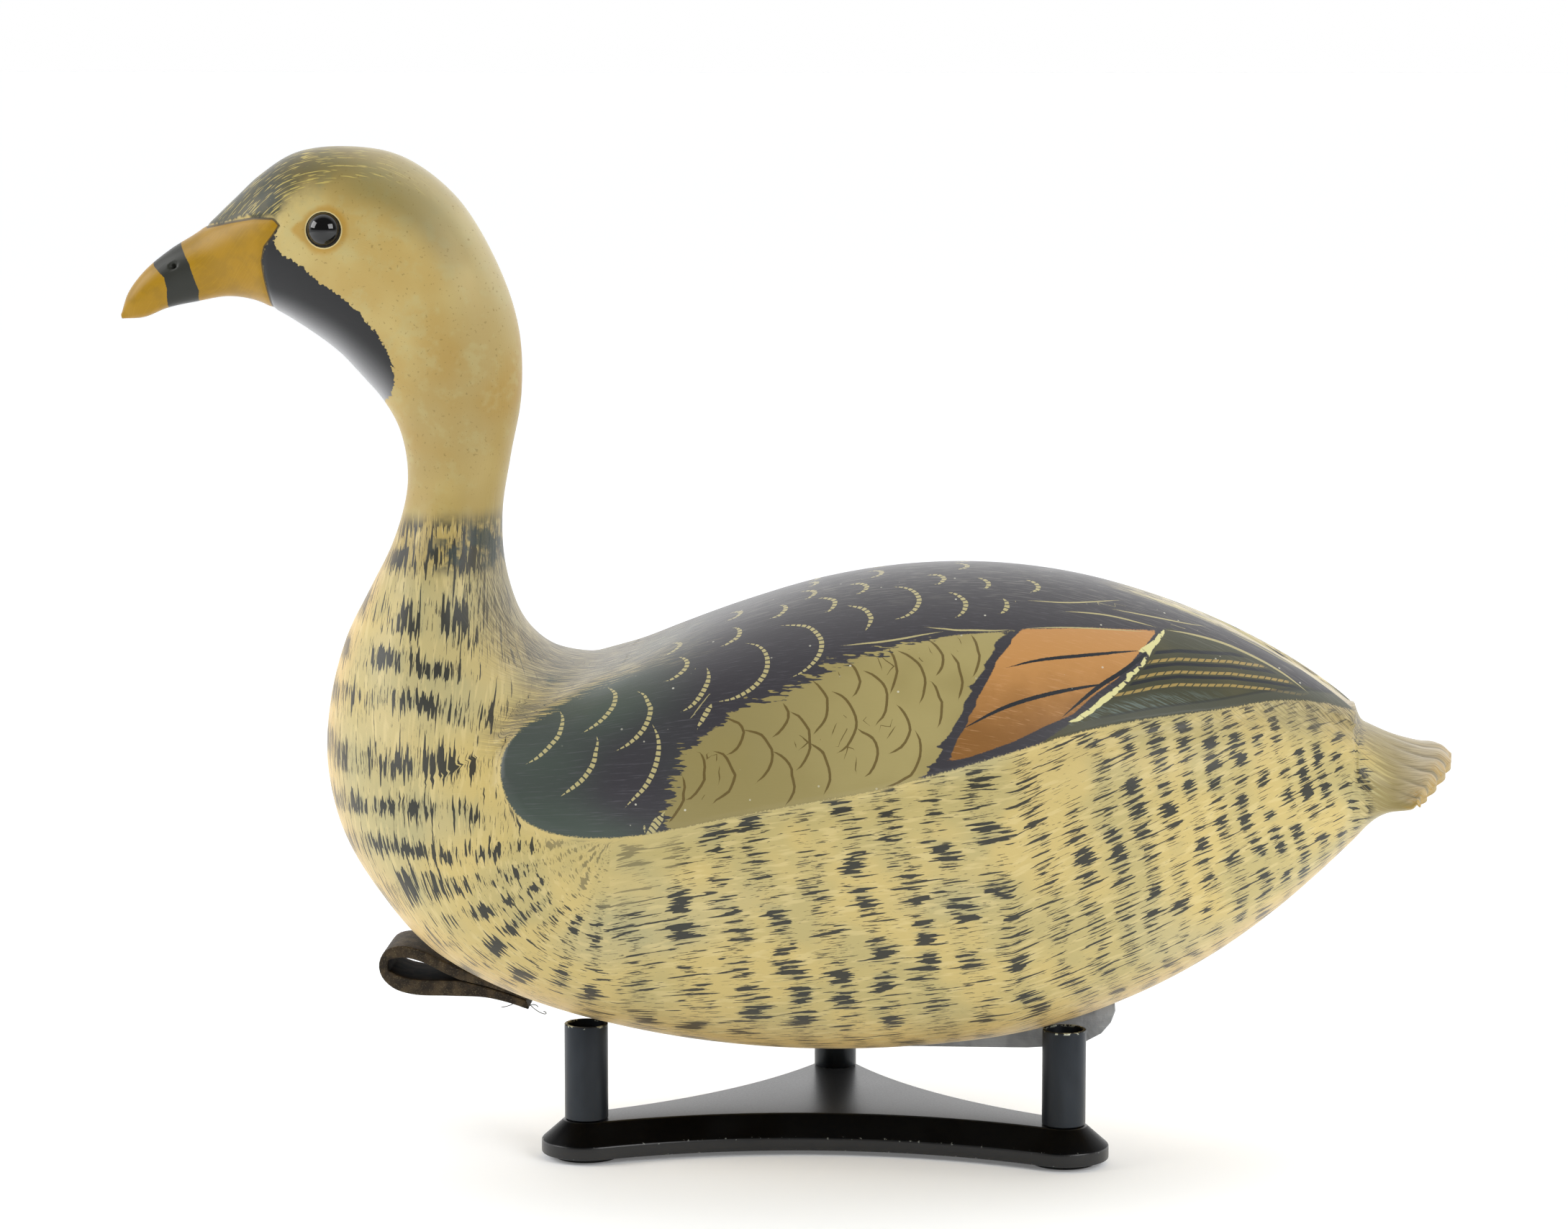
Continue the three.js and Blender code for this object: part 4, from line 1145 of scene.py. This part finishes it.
WEIGHT_WIDTH = 26
weight_outline = [
    (24, 39.6), (40, 38.9), (90, 38.9), (104, 39.8), (112, 41.6), (117.5, 44.6), (121, 48.8), (122.6, 53.2),
    (122.2, 56.4), (110, 52.8), (92, 47.4), (70, 43.8), (46, 41.2), (30, 40.8), (24, 40.8),
]
weight = block_from_outline("cast_keel_weight", weight_outline, WEIGHT_WIDTH, 1)
bevel(weight, 2.2, segments=4, degrees=50)
smooth_under(weight, 35)

# %% Lead
lead, tree, shader = start_material("weathered_cast_lead", Roughness=0.6, Metallic=0.3, IOR=1.5)
place = object_mm(tree)
lead_cloud = mottle(place, 9)
lead_tone = coat("#86888a", "#9a9c9e", rise(lead_cloud, 0.4, 0.62))
scratches = rise(mottle(place, (14, 0.5, 0.35), detail=2), 0.6, 0.66)
lead_tone = coat(lead_tone, "#a9acae", scratches * 0.5)
lead_tone.into(shader, "Base Color")
add(tree, "Bump", {"Height": mottle(place, 3.5, detail=4), "Distance": 0.5 * MM}).into(shader, "Normal")
settle(weight, lead, "weathered_lead", "keel_weight")

# %% [markdown]
# ## Leather loop
# A strap is folded over so that it forms a teardrop for the line, and its two ends lie on each other
# under the breast. Its side outline runs round the outside of the fold and back along the inside, with
# a thin seam where the two plies touch.

# %% Loop
UPPER_PLY, LOWER_PLY, LOOP_WIDTH, SEAM = 4.4, 5.8, 30, 0.12
loop_outside = spaced([
    (-92.5, 56), (-98.5, 58), (-111, 62.8), (-125.4, 69), (-134.5, 73.4), (-142, 74.9), (-147.6, 73.2),
    (-150.2, 68.4), (-149.4, 63.4), (-145, 58.9), (-137.6, 56.6), (-124, 56.2), (-111, 55.8), (-102.4, 54),
    (-94.5, 51.4)], 70)
nose = int(np.argmin(loop_outside[:, 0]))
upper_edge, lower_edge = loop_outside[:nose], loop_outside[nose:][::-1]
loop_inside_x = np.linspace(-95.5, -145.6, 26)
ceiling = np.interp(-loop_inside_x, -upper_edge[:, 0], upper_edge[:, 1]) - UPPER_PLY
ground_line = np.interp(-loop_inside_x, -lower_edge[:, 0], lower_edge[:, 1]) + LOWER_PLY
middle = (ceiling + ground_line) / 2
half_open = np.maximum((ceiling - ground_line) / 2, SEAM)
fold = [(-146.6, middle[-1] - 2.2), (-147.0, middle[-1]), (-146.6, middle[-1] + 2.2)]
loop_profile = ([tuple(p) for p in loop_outside]
                + [(px, m - h) for px, m, h in zip(loop_inside_x, middle, half_open)] + fold
                + [(px, m + h) for px, m, h in zip(loop_inside_x, middle, half_open)][::-1])
loop = block_from_outline("folded_leather_loop", loop_profile, LOOP_WIDTH, 8)
bevel(loop, 1.2, segments=4, degrees=60)
apply_modifier(loop, "TRIANGULATE")
smooth_under(loop, 50)

# %% Leather
leather, tree, shader = start_material("dry_oiled_leather", Roughness=0.66, IOR=1.36)
place = object_mm(tree)
hide = mottle(place, 5, detail=4)
pores = mottle(place, 0.55, detail=3)
hide_tone = coat("#271f14", "#4c3f2c", rise(hide, 0.4, 0.66))
hide_tone = coat(hide_tone, "#857a5c", rise(pores, 0.56, 0.7) * 0.4)
hide_tone.into(shader, "Base Color")
add(tree, "Bump", {"Height": pores, "Distance": 0.35 * MM}).into(shader, "Normal")
settle(loop, leather, "aged_leather", "leather_loop")
# Painted shade: the faces inside the fold get a much darker leather with little shine, as shade in the
# fold's hollow.
painted_fold_shade, tree, shader = start_material("leather_inside_the_fold_with_painted_shade", Roughness=0.75, IOR=1.3)
shader.inputs["Specular IOR Level"].default_value = 0.12
place = object_mm(tree)
fold_shade_tone = coat("#17110a", "#2b2216", rise(mottle(place, 4, detail=3), 0.4, 0.62))
fold_shade_tone.into(shader, "Base Color")
loop.data.materials.append(painted_fold_shade)
PLY_LEAST = 3.2
for face in loop.data.polygons:
    from_outline = distance_to(loop_outside, face.center.x / MM, face.center.z / MM)
    if abs(face.normal.y) < 0.5 and from_outline > PLY_LEAST and face.center.x / MM < -100:
        face.material_index = 1

# %% [markdown]
# A few threads have frayed from the strap's cut end. Each is drawn as a curve, given a thickness and made
# a mesh.

# %% Frayed threads
THREAD_RADIUS = 0.16
threads = [
    [(-94, -14.6, 53.2), (-91.8, -15.2, 51.2), (-89.4, -15.4, 50.2), (-88, -15.2, 49.4),
     (-87.6, -14.8, 50.4), (-89, -14.6, 50.9)],
    [(-94.4, -12, 52.4), (-92, -12.4, 53.6), (-91.2, -12.8, 52)],
    [(-99.8, -14.8, 54), (-101.4, -15.4, 52.6), (-104.6, -15.6, 52.4)],
]
for number, thread_places in enumerate(threads, start=1):
    thread = new_piece(f"frayed_thread_{number}", bpy.ops.curve.primitive_nurbs_path_add)
    path = thread.data.splines[0]
    path.points.add(max(0, len(thread_places) - len(path.points)))
    for point, thread_place in zip(path.points, thread_places + [thread_places[-1]] * len(path.points)):
        point.co = (*(Vector(thread_place) * MM), 1)
    path.use_endpoint_u = True
    thread.data.resolution_u = 6
    thread.data.bevel_depth = THREAD_RADIUS * MM
    thread.data.bevel_resolution = 2
    thread.data.use_fill_caps = True
    pick(thread)
    bpy.ops.object.convert(target="MESH")
    smooth_under(thread, 60)
    settle(thread, leather, "aged_leather")

# %% [markdown]
# ## Stand
# The plate is a triangle with hollow sides and round corners, a straight rim and a wide chamfer. The
# posts are plain tubes and the feet are low discs. The plate starts as a filled circle with as many
# points as its outline needs; the rim and the chamfer are two extrusions of it.

# %% Plate outline
post_boxes = {side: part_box("stand_post_" + side) for side in ("left", "right", "rear")}
post_places = {side: (low + high) / 2 / MM for side, (low, high) in post_boxes.items()}
FOOT_HEIGHT, RIM_HEIGHT, CHAMFER_RISE, CHAMFER_RUN = 2.0, 4.8, 7.5, 8.4
TOP_CORNER, SIDE_ARC = 8.2, 195
PLATE_TOP = FOOT_HEIGHT + RIM_HEIGHT + CHAMFER_RISE


def plate_outline(corner_radius):
    corners = [np.array(place[:2]) for place in post_places.values()]
    outline = []
    hollows = []
    for corner, after in zip(corners, corners[1:] + corners[:1]):
        chord = after - corner
        reach = math.sqrt((SIDE_ARC + TOP_CORNER) ** 2 - (np.linalg.norm(chord) / 2) ** 2)
        outward = np.array((chord[1], -chord[0])) / np.linalg.norm(chord)
        hollows.append((corner + after) / 2 + outward * reach)
    for k, corner in enumerate(corners):
        before, hollow, after = hollows[k - 1], hollows[k], corners[(k + 1) % 3]
        start = math.atan2(*(before - corner)[::-1])
        stop = math.atan2(*(hollow - corner)[::-1])
        stop += 2 * math.pi if stop < start else 0
        angles = np.linspace(start, stop, 24, endpoint=False)
        outline += [corner + corner_radius * np.array((math.cos(a), math.sin(a))) for a in angles]
        start = math.atan2(*(corner - hollow)[::-1])
        stop = math.atan2(*(after - hollow)[::-1])
        stop -= 2 * math.pi if stop > start else 0
        radius = SIDE_ARC + TOP_CORNER - corner_radius
        angles = np.linspace(start, stop, 48, endpoint=False)
        outline += [hollow + radius * np.array((math.cos(a), math.sin(a))) for a in angles]
    return outline


# %% Plate
rim_outline = plate_outline(TOP_CORNER + CHAMFER_RUN)
top_outline = plate_outline(TOP_CORNER)
plate = flat_piece("painted_plate", [(rim_x, rim_y, FOOT_HEIGHT) for rim_x, rim_y in rim_outline])
bpy.ops.object.mode_set(mode="EDIT")
for lift in (RIM_HEIGHT, CHAMFER_RISE):
    bpy.ops.mesh.extrude_region_move(TRANSFORM_OT_translate={"value": (0, 0, lift * MM)})
bpy.ops.object.mode_set(mode="OBJECT")
for vertex in plate.data.vertices:
    if vertex.co.z > (PLATE_TOP - 0.5) * MM:
        apart = [math.hypot(*(place - np.array(vertex.co[:2]) / MM)) for place in rim_outline]
        vertex.co.x, vertex.co.y = top_outline[int(np.argmin(apart))] * MM
face_outward(plate)
bevel(plate, 0.55, segments=3, degrees=25)
apply_modifier(plate, "TRIANGULATE")
smooth_under(plate, 20)

# %% Black stand paint
stand_paint, tree, shader = start_material("black_powder_coat", Roughness=0.34, IOR=1.4)
place = object_mm(tree)
wear = mottle(place, 1.6, detail=3)
coat_tone = coat("#040405", "#0a0b0d", rise(mottle(place, 30), 0.4, 0.62))
height = place.split()[2]
rim_top = abs(height - (FOOT_HEIGHT + RIM_HEIGHT))
rim_foot = abs(height - FOOT_HEIGHT)
at_edge = fall(rim_top.at_most(rim_foot), 0.25, 0.7)
polish_top = rise(height, PLATE_TOP - 0.5, PLATE_TOP - 0.2) * 0.45
polish_rim = fall(height, FOOT_HEIGHT + RIM_HEIGHT - 0.2, FOOT_HEIGHT + RIM_HEIGHT + 0.2)
polish = polish_top.at_least(polish_rim * 0.8) + 0.08
polish.into(shader, "Specular IOR Level")
nicks = at_edge * rise(wear, 0.62, 0.68)
coat_tone = coat(coat_tone, "#8a8c86", nicks * 0.7)
coat_tone.into(shader, "Base Color")
coat_rough = mottle(place, 0.8, detail=3) * 0.14 + 0.26
coat_rough.into(shader, "Roughness")
add(tree, "Bump", {"Height": mottle(place, 0.5), "Distance": 0.03 * MM}).into(shader, "Normal")
settle(plate, stand_paint, "black_stand_metal", "stand_plate")

# %% Posts and feet
POST_RADIUS, POST_WALL, FOOT_RADIUS = 8, 1.2, 12
tube_metal, tree, shader = start_material("anodised_grey_tube", Roughness=0.36, Metallic=0.55)
place = object_mm(tree)
height = place.split()[2]
tube_tone = coat("#23272c", "#2c3137", rise(mottle(place, (12, 12, 40)), 0.4, 0.62))
post_top = post_boxes["left"][1].z / MM
chips = rise(height, post_top - 0.9, post_top - 0.35) * rise(mottle(place, 2.2, detail=3), 0.53, 0.58)
tube_tone = coat(tube_tone, "#c8cbb8", chips)
tube_tone.into(shader, "Base Color")
add(tree, "Bump", {"Height": mottle(place, 0.6), "Distance": 0.03 * MM}).into(shader, "Normal")
foot_rubber, tree, shader = start_material("black_rubber", Roughness=0.75)
place = object_mm(tree)
coat("#0c0c0c", "#1a1a1a", mottle(place, 3)).into(shader, "Base Color")
for side, (low, high) in post_boxes.items():
    post = new_piece("tube_post_" + side, bpy.ops.mesh.primitive_cylinder_add, vertices=96,
                     radius=POST_RADIUS * MM, depth=high.z - low.z, end_fill_type="NOTHING",
                     location=(low + high) / 2)
    apply_modifier(post, "SOLIDIFY", thickness=POST_WALL * MM, offset=-1)
    bevel(post, 0.25, segments=3)
    smooth_under(post, 30)
    settle(post, tube_metal, "grey_tube_metal", "stand_post_" + side)
    low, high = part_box("stand_foot_" + side)
    foot = new_piece("round_foot_" + side, bpy.ops.mesh.primitive_cylinder_add, vertices=64,
                     radius=FOOT_RADIUS * MM, depth=high.z - low.z, location=(low + high) / 2)
    bevel(foot, 0.5, segments=3)
    smooth_under(foot, 30)
    settle(foot, foot_rubber, "black_foot_rubber", "stand_foot_" + side)

# %% [markdown]
# ## Floor and light
# The object stands on a sheet of white acrylic that glows a little by itself, a painted light that also
# lights the bird from below, and glows less close to the stand, a painted shadow. Two soft boxes show as
# two small windows in the eye. A white tent is all round.
# It is brightest behind the bird, where it draws a pale edge round the varnished form.

# %% Floor
floor = new_piece("white_acrylic_table", bpy.ops.mesh.primitive_plane_add, size=60)
acrylic, tree, shader = start_material("glowing_white_acrylic_with_painted_shadow", Roughness=0.8)
shader.inputs["Base Color"].default_value = colour("#f2f4f6")
shader.inputs["Emission Color"].default_value = (1, 1, 1, 1)
NEAR_STAND, CLEAR_OF_STAND, LEAST_GLOW, FULL_GLOW = 0.1, 0.27, 0.13, 0.25
# Painted light and shadow: the floor glows by itself, and glows less within a short way of the stand.
from_stand = add(tree, "VectorMath", {0: add(tree, "TexCoord", out=3)}, out=1, operation="LENGTH")
glow = add(tree, "MapRange",
           {"Value": from_stand, "From Min": NEAR_STAND, "From Max": CLEAR_OF_STAND, "To Min": LEAST_GLOW,
            "To Max": FULL_GLOW}, interpolation_type="SMOOTHSTEP")
glow.into(shader, "Emission Strength")
floor.data.materials.append(acrylic)

# %% Lights
def soft_box(name, round_degrees, up_degrees, size, power):
    """A large soft box two metres away; round is measured from the camera's side towards the tail."""
    angle, lift = math.radians(round_degrees), math.radians(up_degrees)
    aim = Vector((0, 0, 0.2))
    away = Vector((math.sin(angle) * math.cos(lift), -math.cos(angle) * math.cos(lift), math.sin(lift)))
    light = new_piece(name, bpy.ops.object.light_add, type="AREA", location=aim + 2 * away,
                      rotation=away.to_track_quat("Z", "Y").to_euler())
    light.data.shape = "RECTANGLE"
    light.data.size, light.data.size_y = size
    light.data.energy = power
    light.visible_camera = False


soft_box("soft_box_left", -77, 27, (1.1, 1.0), 22)
soft_box("soft_box_right", 48, 27, (1.1, 1.0), 22)

# %% White tent
tent = bpy.data.worlds.new("light_tent")
bpy.context.scene.world = tent
tent.use_nodes = True
tree = tent.node_tree
direction = add(tree, "TexCoord").split()
backlight = add(tree, "MapRange",
                {"Value": direction[1], "From Min": -0.2, "From Max": 0.3, "To Min": 0.14, "To Max": 1.5},
                interpolation_type="SMOOTHSTEP")
seen = add(tree, "LightPath")
strength = add(tree, "Mix", {0: seen, 2: backlight, 3: 1})
strength.into(tree.nodes["Background"], "Strength")
tree.nodes["Background"].inputs["Color"].default_value = (1, 1, 1, 1)
bpy.context.scene.view_settings.view_transform = "Standard"
